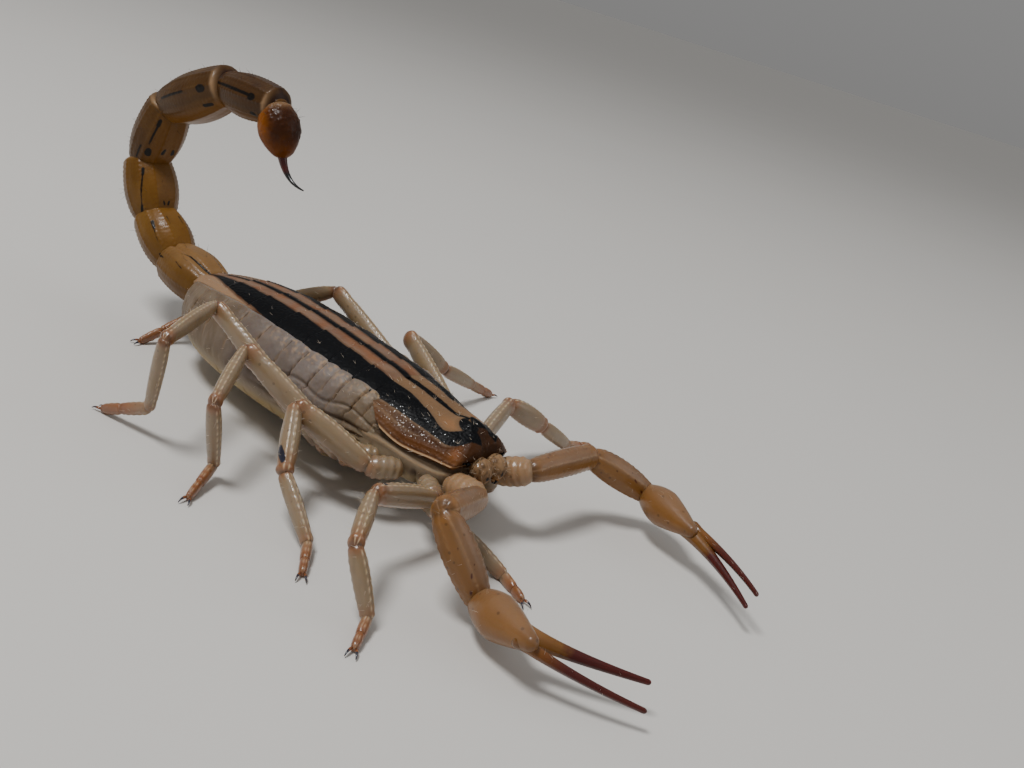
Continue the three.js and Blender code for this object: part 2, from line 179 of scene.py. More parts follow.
EYE = {"radius": 0.28, "x": 0.38, "y": -9.0, "z": 5.06}
SIDE_EYES = ((1.22, -10.14, 4.02), (1.44, -10.00, 4.06), (1.64, -9.84, 4.10))
SIDE_EYE_RADIUS = 0.11
JAW = {"spread": 0.53, "back": -9.8, "front": -10.62, "top": 3.85, "tip": 3.12, "radius": 0.54}
JAW_FANGS = ((0.15, 0.36, 0.12), (-0.12, 0.30, 0.10))   # how far outwards, length, radius at the root
COMB = {"root": 0.35, "reach": 2.5, "y": -4.3, "sweep": 1.7, "z": 0.82, "teeth": 15, "tooth": 0.62}

# Tail rings from the body to the sting bulb: length, thickness at the middle, pitch in degrees.
TAIL_ROOT = Vector((0, 10.35, 3.9))
TAIL_RINGS = (
    (3.55, 3.05, 6),
    (3.15, 2.85, 33),
    (3.20, 2.95, 61),
    (3.80, 2.75, 110),
    (5.10, 2.75, 153),
    (3.90, 2.30, 178),
)
BULB = {"length": 2.3, "thickness": 2.15, "pitch": 241}
STING = {"radius": 0.34, "tip": 0.035, "drop": 1.35, "reach": 2.1}

# Dark strokes on one side of each tail ring; the other side mirrors them. Each runs from one
# (share of the length, degrees from the top) to another, with its half width at both.
RING_STROKES = (
    (((0.00, 27), (0.50, 31), 0.075, 0.055), ((0.50, 31), (0.62, 40), 0.055, 0.02),
     ((0.38, 64), (0.56, 60), 0.03, 0.03), ((0.88, 71), (0.99, 74), 0.04, 0.07)),
    (((0.02, 74), (0.07, 76), 0.13, 0.10), ((0.28, 61), (0.52, 56), 0.018, 0.03),
     ((0.53, 55), (0.66, 53), 0.07, 0.10), ((0.50, 17), (0.68, 17), 0.02, 0.035)),
    (((0.05, 69), (0.14, 64), 0.09, 0.08), ((0.14, 64), (0.68, 50), 0.04, 0.04),
     ((0.68, 50), (0.78, 48), 0.07, 0.09), ((0.15, 6), (0.19, 8), 0.07, 0.06)),
    (((0.30, 47), (0.35, 47), 0.17, 0.15), ((0.14, 72), (0.36, 69), 0.04, 0.03),
     ((0.46, 52), (0.78, 50), 0.02, 0.03), ((0.79, 50), (0.86, 50), 0.09, 0.08),
     ((0.38, 14), (0.44, 12), 0.09, 0.07)),
    (((0.18, 97), (0.58, 95), 0.055, 0.03), ((0.83, 92), (0.86, 91), 0.21, 0.19),
     ((0.81, 50), (0.90, 46), 0.08, 0.09)),
    (((0.02, 107), (0.76, 106), 0.05, 0.05), ((0.78, 104), (0.80, 104), 0.17, 0.17),
     ((0.82, 60), (0.88, 55), 0.08, 0.08)),
)

# How each ring is tinted, from the body to the bulb: brown outer side, partly its own colour and partly
# painted shade; dusk, a painted shade all round; pinkish top; amber inner side; pale rim, partly a painted
# highlight on its collar; each from 0 to 1, and how much wider its strokes are, in millimetres.
RING_SHADES = (
    (0.0, 0.0, 0.2, 0.2, 0.2, 0.005),
    (0.05, 0.0, 0.0, 0.3, 0.15, 0.005),
    (0.1, 0.1, 0.0, 0.4, 0.3, 0.01),
    (0.45, 0.55, 0.0, 0.7, 0.5, 0.03),
    (0.9, 0.62, 0.0, 0.9, 0.6, 0.035),
    (0.95, 0.75, 0.0, 0.6, 0.6, 0.035),
)
RING_KEELS = (24, 58, 96, 132, 163)      # degrees from the top, on each side
RING_BEADS = 0.26           # from one bead of a tail keel to the next

# Legs by pair, front to rear: where the hip sits, and the length and thickness of each joint.
LEG_PAIRS = (
    {"hip": (2.3, -8.9, 2.7), "trochanter": (1.5, 1.05), "femur": (4.1, 1.05), "patella": (3.2, 1.0),
     "tibia": (2.9, 0.78), "tarsus": (1.7, 0.58)},
    {"hip": (2.6, -7.6, 2.7), "trochanter": (1.6, 1.1), "femur": (4.2, 1.2), "patella": (3.35, 1.15),
     "tibia": (3.3, 0.82), "tarsus": (1.9, 0.6)},
    {"hip": (2.7, -6.3, 2.7), "trochanter": (1.8, 1.1), "femur": (6.6, 1.15), "patella": (4.2, 0.9),
     "tibia": (3.5, 0.78), "tarsus": (2.4, 0.58)},
    {"hip": (2.6, -5.0, 2.7), "trochanter": (2.1, 1.1), "femur": (8.5, 1.05), "patella": (5.2, 0.88),
     "tibia": (4.3, 0.72), "tarsus": (3.2, 0.58)},
)

# How each joint of a leg is shaped. Its shape is its girth at its near and far end, and where it is
# fullest; across is its width against its height, and hinge says how warm its two ends are.
LEG_SHAPES = {
    "trochanter": {"shape": (0.72, 0.84, 0.5), "across": 0.95, "hinge": (0.2, 0.6), "keels": (),
                   "wrinkle": 0.02},
    "femur": {"shape": (0.72, 0.80, 0.5), "bow": 0.06, "across": 0.72, "hinge": (0.5, 0.9), "collar": 0.09},
    "patella": {"shape": (0.60, 0.74, 0.5), "bow": 0.05, "across": 0.8, "hinge": (1.0, 0.9),
                "collar": 0.09},
    "tibia": {"shape": (0.78, 0.72, 0.35), "bow": 0.03, "hinge": (1.0, 0.7), "around": 56},
    "foot": {"shape": (0.88, 0.86, 0.4), "hinge": (0.9, 0.9), "around": 32},
    "toe": {"shape": (0.92, 0.74, 0.4), "across": 0.8, "hinge": (0.9, 0.4), "around": 32},
}
FOOT_BREAK = 0.58           # where the foot is jointed, as a share of its length
LIMB_KEELS = (16, 166)      # degrees round a leg, on each side: its upper and lower ridges
LIMB_BEADS = 0.34           # from one bead of a limb's keel to the next

# Blue-black spots of the legs: (leg, part) to strokes near that part's far end.
LEG_SPOTS = {
    ("leg_2_right", "patella"): (((0.70, 60), (0.82, 30), 0.22, 0.18),
                                 ((0.70, -150), (0.84, -130), 0.12, 0.1)),
    ("leg_1_right", "femur"): (((0.84, 5), (0.92, 30), 0.10, 0.07),),
    ("leg_1_left", "femur"): (((0.84, -5), (0.92, -30), 0.10, 0.07),),
    ("leg_2_left", "patella"): (((0.70, -95), (0.84, -60), 0.18, 0.14),),
}

# How each leg is held: (heading, lift) in degrees, where heading 0 is straight ahead, 90 straight out to
# that side and 180 straight back. The tarsus only has a heading, because it comes down to the floor.
LEG_POSE = {
    "right": (
        {"trochanter": (32, -2), "femur": (93, 15), "patella": (54, -12), "tibia": (-9, -62),
         "tarsus": 59},
        {"trochanter": (122, -2), "femur": (152, 23), "patella": (41, -37), "tibia": (10, -34),
         "tarsus": 46},
        {"trochanter": (133, -11), "femur": (162, 27), "patella": (54, -17), "tibia": (-107, -73),
         "tarsus": 61},
        {"trochanter": (146, -18), "femur": (171, 27), "patella": (61, -3), "tibia": (-147, -71),
         "tarsus": 172},
    ),
    "left": (
        {"trochanter": (73, -74), "femur": (-102, 0), "patella": (-16, 4), "tibia": (20, -25),
         "tarsus": -20},
        {"trochanter": (119, -13), "femur": (108, 15), "patella": (77, -26), "tibia": (83, -29),
         "tarsus": 76},
        {"trochanter": (128, 0), "femur": (164, 19), "patella": (83, -33), "tibia": (90, -24),
         "tarsus": 89},
        {"trochanter": (162, 15), "femur": (175, 18), "patella": (-171, -31), "tibia": (-129, -22),
         "tarsus": -97},
    ),
}

# Pincer arms: length and thickness of each joint, and how each arm is held.
ARM_ROOT = (1.55, -9.7, 2.85)
ARM = {"trochanter": (1.9, 1.45), "femur": (4.9, 1.4), "patella": (4.1, 1.7), "palm": (4.1, 2.15),
       "finger": (5.1, 0.7)}
ARM_KEELS = (8, 56, 100, 145)   # degrees round an arm, on each side
FRECKLES = (
    ((0.62, 60), (0.66, 66), 0.05, 0.04), ((0.78, 84), (0.80, 90), 0.07, 0.05),
    ((0.55, 40), (0.56, 44), 0.04, 0.03), ((0.84, 40), (0.86, 44), 0.05, 0.05),
    ((0.35, 70), (0.37, 73), 0.04, 0.03),
)
ARM_SHAPES = {
    "trochanter": {"shape": (0.72, 0.86, 0.55), "across": 1.0, "keels": (), "wrinkle": 0.02},
    "femur": {"shape": (0.76, 0.88, 0.6), "bow": 0.04, "across": 0.92, "keels": ARM_KEELS},
    "patella": {"shape": (0.62, 0.62, 0.45), "bow": 0.05, "across": 0.9, "keels": ARM_KEELS,
                "girth_share": 0.9, "spots": FRECKLES},
}
PALM = {"near": 0.42, "far": 0.26, "fullest": 0.42, "girth": 0.91}
# Where each finger is rooted in the palm, behind the wrist and beside the palm's axis, and how thick it
# starts against its own thickness.
FINGERS = {
    "fixed": {"behind": 1.5, "beside": -0.04, "swelling": 1.85},
    "movable": {"behind": 0.7, "beside": 0.34, "swelling": 1.05},
}
FINGER_BOW = 0.35           # how far the fingers arch outwards
FINGER_TEETH = 22
ARM_POSE = {
    "right": {"trochanter": (8, 9), "femur": (72, 15), "patella": (-27, -53), "palm": (24, 15),
              "fixed": (-43, -8), "movable": (-30, -14)},
    "left": {"trochanter": (22, 22), "femur": (87, 0), "patella": (52, -23), "palm": (-26, 5),
             "fixed": (-25, -10), "movable": (-22, -2)},
}

plate_low, plate_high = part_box("tergite_1")
HOME = Vector(((plate_low.x + plate_high.x) / 2, plate_low.y - (WAIST + PLATE_GAP) * MM, 0))


def home(point):
    """A point of the animal's own frame, in millimetres, as a place in the scene, in metres."""
    return HOME + Vector(point) * MM


# ---------------------------------------------------------------- curves and profiles

def lerp(a, b, t):
    return a + (b - a) * t


def clamp(value, low=0.0, high=1.0):
    return max(low, min(high, value))


def smooth(low, high, value):
    """0 below low, 1 above high, with an even ease between."""
    t = clamp((value - low) / (high - low))
    return t * t * (3 - 2 * t)


def bump(value, at, width):
    """A smooth hump of height 1 at a place."""
    return math.exp(-((value - at) / width) ** 2)


def folded(turn):
    """The angle from the top of a limb, 0 to pi, the same on both sides."""
    return abs((turn + math.pi) % TAU - math.pi)


def rounded(value):
    """Turns a sine or cosine into the boxier section of the trunk."""
    return math.copysign(abs(value) ** (2 / SECTION_POWER), value)


def crowd(t, share=0.7):
    """Even steps made finer towards both ends, where a skin closes."""
    return t - share * math.sin(TAU * t) / TAU


def closing(distance, reach):
    """How far a rounded end has opened at a distance from its pole."""
    return 1.0 if distance >= reach else math.sqrt(max(0.0, 1 - (1 - distance / reach) ** 2))


def station(table, y):
    """The values of a table at y, running smoothly through its rows."""
    last = len(table) - 1
    y = clamp(y, table[0][0], table[last][0])
    after = next(index for index in range(1, last + 1) if table[index][0] >= y)
    a, b = table[after - 1], table[after]
    before, beyond = table[max(after - 2, 0)], table[min(after + 1, last)]
    span = b[0] - a[0]
    t = (y - a[0]) / span
    values = []
    for column in range(1, len(a)):
        leave = (b[column] - before[column]) / (b[0] - before[0]) * span
        arrive = (beyond[column] - a[column]) / (beyond[0] - a[0]) * span
        rise = b[column] - a[column]
        values.append(a[column] + t * (leave + t * ((3 * rise - 2 * leave - arrive)
                                                   + t * (leave + arrive - 2 * rise))))
    return values


def aim(side, direction, length):
    """A step of a limb, held at a heading and a lift, on one side of the body."""
    heading, lift = (math.radians(angle) for angle in direction)
    return Vector((
        side * math.sin(heading) * math.cos(lift),
        -math.cos(heading) * math.cos(lift),
        math.sin(lift),
    )) * length


def arc(start, bend, end):
    """A bent line: its point and heading at a share of its length, and its length."""
    def point(s):
        return start * (1 - s) ** 2 + bend * 2 * s * (1 - s) + end * s ** 2

    def heading(s):
        return ((bend - start) * (1 - s) + (end - bend) * s).normalized()

    steps = [point(index / 12) for index in range(13)]
    length = sum((b - a).length for a, b in zip(steps, steps[1:]))
    return point, heading, length


def joint_line(start, end, thickness, bow=0.0):
    """The line of one limb joint, run on past both its ends and arched upwards by bow."""
    ahead = (end - start).normalized()
    run = ahead * OVERRUN * thickness
    a, b = start - run, end + run
    rise = UP - ahead * UP.dot(ahead)
    return arc(a, (a + b) / 2 + rise * 2 * bow, b)


def limb_up(start, end):
    """Which way the upper face of a limb points: ahead where the limb itself is upright."""
    ahead = (end - start).normalized()
    return AHEAD if abs(ahead.z) > 0.9 else UP


def barrel(radius, start, end, belly=0.5):
    """Barrel-shaped girth: narrow at both ends and fullest at the belly."""
    def girth(s, turn):
        near = s / belly if s < belly else (1 - s) / (1 - belly)
        edge = start if s < belly else end
        return radius * lerp(edge, 1, math.sin(clamp(near) * math.pi / 2) ** 0.8)
    return girth


# ---------------------------------------------------------------- skins

MARKS = ("stain", "brown", "warm", "pale", "grain")   # what each skin carries for its material


def new_skin():
    """An empty skin that can carry the marks of its material."""
    mesh = bmesh.new()
    for mark in MARKS:
        mesh.verts.layers.float.new(mark)
    return mesh


def put(mesh, vertex, point, marks):
    """Places a vertex of a skin and gives it its marks; a mark that isn't given stays 0."""
    vertex.co = home(point)
    for mark, value in marks.items():
        vertex[mesh.verts.layers.float[mark]] = value


def wrap(mesh, around, along, place):
    """Adds a closed skin: a grid rolled into a tube, whose end rows close to poles."""
    grid = bmesh.ops.create_grid(mesh, x_segments=around, y_segments=along, size=0.5)["verts"]
    for vertex in grid:
        point, marks = place(vertex.co.y + 0.5, (vertex.co.x + 0.5) * TAU)
        put(mesh, vertex, point, marks)
    bmesh.ops.remove_doubles(mesh, verts=grid, dist=WELD)


def plain(s, turn):
    return {}


def flat(s, turn):
    return 0.0


def tube(mesh, line, up, girth, marks=plain, relief=flat, across=1.0, cap=None, around=24, along=32):
    """Adds a limb joint, ring, claw or tooth: a tube along a line, rounded off at both ends."""
    point, heading, length = line

    @functools.lru_cache(maxsize=None)
    def row(t):
        s = crowd(t)
        ahead = heading(s)
        side = ahead.cross(up).normalized()
        reach = cap or girth(round(s), 0)
        return s, point(s), side, side.cross(ahead), closing(min(s, 1 - s) * length, reach)

    def place(t, turn):
        s, centre, side, top, opened = row(t)
        radius = (girth(s, turn) + relief(s, turn)) * opened
        offset = side * math.sin(turn) * radius * across + top * math.cos(turn) * radius
        return centre + offset, marks(s, turn)

    wrap(mesh, around, along, place)


def claw(mesh, start, bend, tip, root_radius, tip_radius, marks=plain, around=10, along=14):
    """Adds a tapering curved claw, fang or tooth."""
    line = arc(start, bend, tip)
    up = AHEAD if abs((tip - start).normalized().z) > 0.8 else UP
    tube(mesh, line, up, lambda s, turn: lerp(root_radius, tip_radius, s), marks, around=around, along=along)


def add_object(name, mesh, material):
    """Turns a finished bmesh into an object of the scene."""
    data = bpy.data.meshes.new(name)
    mesh.to_mesh(data)
    mesh.free()
    data.materials.append(material)
    piece = bpy.data.objects.new(name, data)
    bpy.context.scene.collection.objects.link(piece)
    return piece


def finish_piece(name, mesh, material, slot, *nodes):
    """Turns a skin into a smooth piece that rides on the body and stands for its solids."""
    bmesh.ops.recalc_face_normals(mesh, faces=mesh.faces)
    piece = add_object(name, mesh, material)
    piece.data.shade_smooth()
    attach(piece, "root")
    if nodes:
        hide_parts(*nodes)


# ---------------------------------------------------------------- colours and materials

CHITIN_IOR = 1.56
CLOUD_SIZE = 1.4            # millimetres from one soft cloud of colour to the next
GRAIN_SIZE = 0.22           # the skin's own fine grain
PORE_SPACING = 0.55
TIP_SPACING = 0.10          # from one polished tip of a grain to the next
GRANULE_HEIGHT = 0.05
GRAIN_HEIGHT = 0.03
GLOW_DEPTH = 0.7            # how far light goes into the skin


def linear(code):
    """An sRGB hex colour as the linear colour that shaders take."""
    channels = (int(code[index:index + 2], 16) / 255 for index in (1, 3, 5))
    return [c / 12.92 if c <= 0.04045 else ((c + 0.055) / 1.055) ** 2.4 for c in channels] + [1.0]


def feed(tree, node, inputs):
    """Gives a node its inputs; each is a value, or a socket to link from."""
    for key, value in inputs.items():
        if isinstance(value, bpy.types.NodeSocket):
            tree.links.new(value, node.inputs[key])
        else:
            node.inputs[key].default_value = value


def add_node(tree, kind, inputs=None, **settings):
    """Adds a node with its settings and its inputs."""
    node = tree.nodes.new(kind)
    for name, value in settings.items():
        setattr(node, name, value)
    feed(tree, node, inputs or {})
    return node


def tinted(tree, colour, layers):
    """Lays tints over a colour one after another; each covers as much as its factor says."""
    for factor, tint in layers:
        mix = add_node(tree, "ShaderNodeMix", {0: factor, 6: colour, 7: tint}, data_type="RGBA")
        colour = mix.outputs[2]
    return colour


def per_mm(size):
    """Pattern scale, in repeats per metre, of a pattern whose real repeat is this many millimetres."""
    return 1 / (size * MM)


def new_material(name):
    """An empty material, its tree, its shader and the place that its patterns are drawn by."""
    material = bpy.data.materials.new(name)
    material.use_nodes = True
    tree = material.node_tree
    where = add_node(tree, "ShaderNodeTexCoord").outputs["Object"]
    return material, tree, tree.nodes["Principled BSDF"], where


def cuticle(name, base, drift, warm, brown, pale, stain, roughness, glow, granule=0.16, relief=0.5,
            coat=0.0, freckle=0.0, shine=0.5, glints=0.0):
    """Scorpion cuticle: layered chitin under a thin wax, hardened and tanned where it carries load.

    Light goes a little way into it, so thin limbs glow amber; the wax gives small sharp highlights, and
    the tanned granules break them up. Colours run from base and drift in soft clouds, and the skin's own
    marks add the warm joints, brown shading, pale rims and the blue-black pigment under the surface. Part of
    the brown is painted shade, in the creases, folds and seams of the soft skin, under the head shield's
    margin and on the last tail rings, and part of the pale is a painted highlight, along the keels of the
    limbs and on the tail's collars.
    """
    material, tree, shader, where = new_material(name)
    marks = {key: add_node(tree, "ShaderNodeAttribute", attribute_name=key).outputs["Fac"] for key in MARKS}
    clouds = add_node(tree, "ShaderNodeTexNoise", {"Vector": where, "Scale": per_mm(CLOUD_SIZE),
                                                   "Detail": 4.0})
    grain = add_node(tree, "ShaderNodeTexNoise", {"Vector": where, "Scale": per_mm(GRAIN_SIZE),
                                                  "Detail": 3.0})
    spread = add_node(tree, "ShaderNodeMapRange", {"Value": clouds.outputs["Fac"], "From Min": 0.35,
                                                   "From Max": 0.68})
    layers = [(spread.outputs["Result"], drift), (marks["warm"], warm), (marks["brown"], brown),
              (marks["pale"], pale)]

    # Freckles: single tanned pores.
    if freckle:
        pores = add_node(tree, "ShaderNodeTexVoronoi", {"Vector": where, "Scale": per_mm(PORE_SPACING)})
        pore = add_node(tree, "ShaderNodeMapRange", {"Value": pores.outputs["Distance"], "From Min": 0.16,
                                                     "From Max": 0.10, "To Max": freckle})
        layers.append((pore.outputs["Result"], brown))

    # The pigment's edge is as ragged as the grain of the skin, some hundredths of a millimetre.
    ragged = add_node(tree, "ShaderNodeMath", {0: grain.outputs["Fac"], 1: -0.5}, operation="ADD")
    edge = add_node(tree, "ShaderNodeMath", {0: ragged.outputs[0], 1: 0.05, 2: marks["stain"]},
                    operation="MULTIPLY_ADD")
    pigment = add_node(tree, "ShaderNodeMapRange", {"Value": edge.outputs[0], "From Min": -0.02,
                                                    "From Max": 0.025})
    layers.append((pigment.outputs["Result"], stain))

    # Granules: tanned grains of the given size, drawn where the skin is granular.
    grains = add_node(tree, "ShaderNodeTexVoronoi", {"Vector": where, "Scale": per_mm(granule)},
                      feature="SMOOTH_F1")
    raised = add_node(tree, "ShaderNodeMath", {0: grains.outputs["Distance"], 1: marks["grain"]},
                      operation="MULTIPLY")
    lumps = add_node(tree, "ShaderNodeBump", {"Height": raised.outputs[0], "Strength": relief,
                                              "Distance": GRANULE_HEIGHT * MM}, invert=True)
    fine = add_node(tree, "ShaderNodeBump", {"Height": grain.outputs["Fac"], "Strength": 0.3,
                                             "Distance": GRAIN_HEIGHT * MM,
                                             "Normal": lumps.outputs["Normal"]})
    sheen = add_node(tree, "ShaderNodeMapRange", {"Value": grain.outputs["Fac"], "To Min": roughness - 0.08,
                                                  "To Max": roughness + 0.12})
    feed(tree, shader, {
        "Base Color": tinted(tree, base, layers),
        "Normal": fine.outputs["Normal"],
        "Coat Normal": fine.outputs["Normal"],
        "Roughness": sheen.outputs["Result"],
        "IOR": CHITIN_IOR,
        "Specular IOR Level": shine,
        "Subsurface Weight": glow,
        "Subsurface Radius": (1.0, 0.5, 0.2),
        "Subsurface Scale": GLOW_DEPTH * MM,
        "Coat Weight": coat,
        "Coat Roughness": 0.12,
    })

    # Glints: on rough plates the wax is polished only on the tips of the grains.
    if glints:
        tips = add_node(tree, "ShaderNodeTexVoronoi", {"Vector": where, "Scale": per_mm(TIP_SPACING)})
        tip = add_node(tree, "ShaderNodeMapRange", {"Value": tips.outputs["Distance"], "From Min": 0.28,
                                                    "From Max": 0.15, "To Max": glints})
        feed(tree, shader, {"Coat Weight": tip.outputs["Result"]})
    return material


def back_cuticle(colours):
    """Tanned back plates: pinkish tan bands beside blue-black stripes, finely granular."""
    return cuticle("tanned_back_cuticle", colours.band, colours.band_drift, colours.rust, colours.umber,
                   colours.rim, colours.stripe, roughness=0.42, glow=0.1, relief=0.4, shine=0.08, glints=0.3)


def shield_cuticle(colours):
    """The head shield: the hardest plate, orange-brown and coarsely granular, with a waxy gloss."""
    return cuticle("tanned_head_shield_cuticle", colours.shield, colours.shield_drift, colours.rust,
                   colours.umber, colours.rim, colours.stripe, roughness=0.42, glow=0.08, granule=0.13,
                   relief=0.45, shine=0.07, glints=0.9)


def belly_membrane(colours):
    """Soft untanned flank and belly skin: cream to greyish pink, creased, dull and translucent."""
    return cuticle("untanned_membrane", colours.membrane, colours.membrane_drift, colours.cream,
                   colours.flank_shade, colours.rim, colours.stripe, roughness=0.46, glow=0.3, shine=0.2)


def limb_cuticle(colours):
    """Thin leg cuticle: pale straw, translucent, orange-brown only where it is hinged."""
    # The pale of the ridges is a painted highlight of their granules.
    return cuticle("straw_leg_cuticle", colours.leg, colours.leg_drift, colours.joint, colours.umber,
                   colours.ridge, colours.blue_spot, roughness=0.3, glow=0.4, coat=0.3, freckle=0.35)


def arm_cuticle(colours):
    """Pincer arms: thicker amber cuticle, pinkish on top, smooth and glossy on the bulbous hands."""
    return cuticle("amber_arm_cuticle", colours.arm, colours.arm_drift, colours.amber, colours.umber,
                   colours.rim, colours.finger, roughness=0.34, glow=0.35, coat=0.2, shine=0.3, freckle=0.45)


def tail_cuticle(colours):
    """Tail rings: honey-coloured cuticle with dark keels, thick enough to glow only a little."""
    return cuticle("honey_tail_cuticle", colours.tail, colours.tail_drift, colours.amber, colours.umber,
                   colours.rim, colours.keel, roughness=0.36, glow=0.12, coat=0.08, shine=0.14)


def bulb_cuticle(colours):
    """The sting bulb: red-amber, strongly granular and glossy."""
    return cuticle("granular_bulb_cuticle", colours.bulb, colours.bulb_drift, colours.rust, colours.umber,
                   colours.rim, colours.finger, roughness=0.32, glow=0.3, granule=0.2, shine=0.12,
                   glints=0.8)


def claw_cuticle(colours):
    """Claws, fangs and fingers: the most heavily tanned cuticle, dark red and as smooth as horn."""
    return cuticle("horn_hard_claw_cuticle", colours.finger, colours.finger_drift, colours.amber,
                   colours.umber, colours.rim, colours.stripe, roughness=0.22, glow=0.1, relief=0.15,
                   coat=0.4, shine=0.3)


def jaw_cuticle(colours):
    """Jaws: brown cuticle with a dark net under a glossy surface."""
    return cuticle("netted_jaw_cuticle", colours.jaw, colours.jaw_drift, colours.amber, colours.umber,
                   colours.rim, colours.stripe, roughness=0.34, glow=0.15, relief=0.6, shine=0.15,
                   freckle=0.3, glints=0.9)


def eye_lens(colours):
    """Eye lenses: clear cuticle over black pigment, polished like a bead."""
    material, tree, shader, where = new_material("clear_lens_over_black")
    haze = add_node(tree, "ShaderNodeTexNoise", {"Vector": where, "Scale": per_mm(0.3), "Detail": 2.0})
    feed(tree, shader, {
        "Base Color": tinted(tree, colours.lens, [(haze.outputs["Fac"], colours.lens_haze)]),
        "Roughness": 0.08,
        "IOR": 1.5,
        "Coat Weight": 1.0,
        "Coat Roughness": 0.03,
    })
    return material


def bristle(name, colour, drift):
    """Bristles and sensory hairs: solid threads of chitin, slightly glossy along their length."""
    material, tree, shader, where = new_material(name)
    patch = add_node(tree, "ShaderNodeTexNoise", {"Vector": where, "Scale": per_mm(0.8)})
    feed(tree, shader, {
        "Base Color": tinted(tree, colour, [(patch.outputs["Fac"], drift)]),
        "Roughness": 0.3,
        "IOR": CHITIN_IOR,
    })
    return material


# ---------------------------------------------------------------- what a user may change

def colour_setting(name, description, code):
    return bpy.props.FloatVectorProperty(name=name, description=description, subtype="COLOR", size=4,
                                         min=0, max=1, default=linear(code))


def length_setting(name, description, millimetres):
    return bpy.props.FloatProperty(name=name, description=description, default=millimetres * MM,
                                   subtype="DISTANCE", unit="LENGTH", precision=5)


def angle_setting(name, description, degrees):
    return bpy.props.FloatProperty(name=name, description=description, default=math.radians(degrees),
                                   subtype="ANGLE")


def power_setting(name, description, watts):
    return bpy.props.FloatProperty(name=name, description=description, default=watts, min=0,
                                   subtype="POWER", unit="POWER")


class ScorpionColours(bpy.types.PropertyGroup):
    """Colours of the cuticle, named for where they lie."""
    band: colour_setting("Back band", "Pinkish tan bands beside the midline", "#7a5d4b")
    band_drift: colour_setting("Back band drift", "Where the bands turn greyer", "#6e564c")
    stripe: colour_setting("Stripe", "Blue-black pigment of the back stripes", "#08090c")
    shield: colour_setting("Head shield", "Orange-brown of the head shield", "#482c18")
    shield_drift: colour_setting("Head shield drift", "Lighter clouds on the head shield", "#62442c")
    membrane: colour_setting("Flank", "Greyish pink of the soft flanks", "#7c736e")
    membrane_drift: colour_setting("Flank drift", "Paler clouds on the flanks", "#887c74")
    flank_shade: colour_setting("Crease", "Shaded bottom of the creases", "#46321e")
    cream: colour_setting("Belly", "Cream of the belly and leg bases", "#a08a60")
    leg: colour_setting("Leg", "Pale straw of the legs", "#8c7658")
    leg_drift: colour_setting("Leg drift", "Greyer clouds on the legs", "#8c7860")
    joint: colour_setting("Leg joint", "Pinkish brown of the leg joints", "#8a5630")
    # Painted highlight: this pale stands for the sparkle of the granules along the leg ridges.
    ridge: colour_setting("Leg ridge", "Pale grains along the ridges of the legs", "#dcc6a8")
    blue_spot: colour_setting("Leg spot", "Blue-black spots near the knees", "#14162a")
    arm: colour_setting("Pincer arm", "Amber of the pincer arms", "#7e6148")
    arm_drift: colour_setting("Pincer arm drift", "Pinkish tan on the arms", "#876548")
    tail: colour_setting("Tail", "Honey colour of the tail rings", "#624216")
    tail_drift: colour_setting("Tail drift", "Paler clouds on the tail rings", "#725020")
    keel: colour_setting("Tail marks", "Brown-black lines and spots of the tail", "#0e0906")
    amber: colour_setting("Amber", "Translucent amber of undersides", "#86581c")
    rust: colour_setting("Rust", "Orange patches behind the eyes", "#8f5526")
    umber: colour_setting("Umber", "Brown shading", "#2e1a0e")
    # On the arms' keels this pale is laid as a painted highlight, and on the tail's collars partly so.
    rim: colour_setting("Rim", "Pale rims and margins", "#b08f6c")
    bulb: colour_setting("Sting bulb", "Red-amber of the sting bulb", "#7c4308")
    bulb_drift: colour_setting("Sting bulb drift", "Darker clouds on the bulb", "#4a1f06")
    finger: colour_setting("Finger", "Dark red of fingers and sting", "#46100a")
    finger_drift: colour_setting("Finger drift", "Redder clouds on the fingers", "#4c1508")
    jaw: colour_setting("Jaw", "Brown of the jaws", "#7c6044")
    jaw_drift: colour_setting("Jaw drift", "Paler net on the jaws", "#8a6c4c")
    lens: colour_setting("Eye", "Black of the eyes", "#050506")
    lens_haze: colour_setting("Eye haze", "Faint haze in the eyes", "#0d0f14")
    pale_hair: colour_setting("Pale hair", "Hairs of back, legs and arms", "#f0e8da")
    dark_hair: colour_setting("Dark hair", "Bristles of the tail", "#3a2618")


class ScorpionForm(bpy.types.PropertyGroup):
    """Sizes of the surface forms."""
    crease_depth: length_setting("Crease depth", "How deep the creases of the flanks are", 0.09)
    plate_step: length_setting("Plate step", "How far each back plate stands over the next", 0.035)
    plate_thickness: length_setting("Plate thickness", "Thickness of the back plates", 0.16)
    keel_height: length_setting("Keel height", "Height of the keels on limbs and tail", 0.06)
    hair_length: length_setting("Hair length", "Length of a body hair", 0.42)
    hair_thickness: length_setting("Hair thickness", "Thickness of a hair at its root", 0.018)
    hair_share: bpy.props.FloatProperty(name="Hairiness", description="Share of the hairs that are grown",
                                        default=1.0, min=0, max=1, subtype="FACTOR")
    seed: bpy.props.IntProperty(name="Seed", description="Chooses where the hairs stand", default=7, min=0)


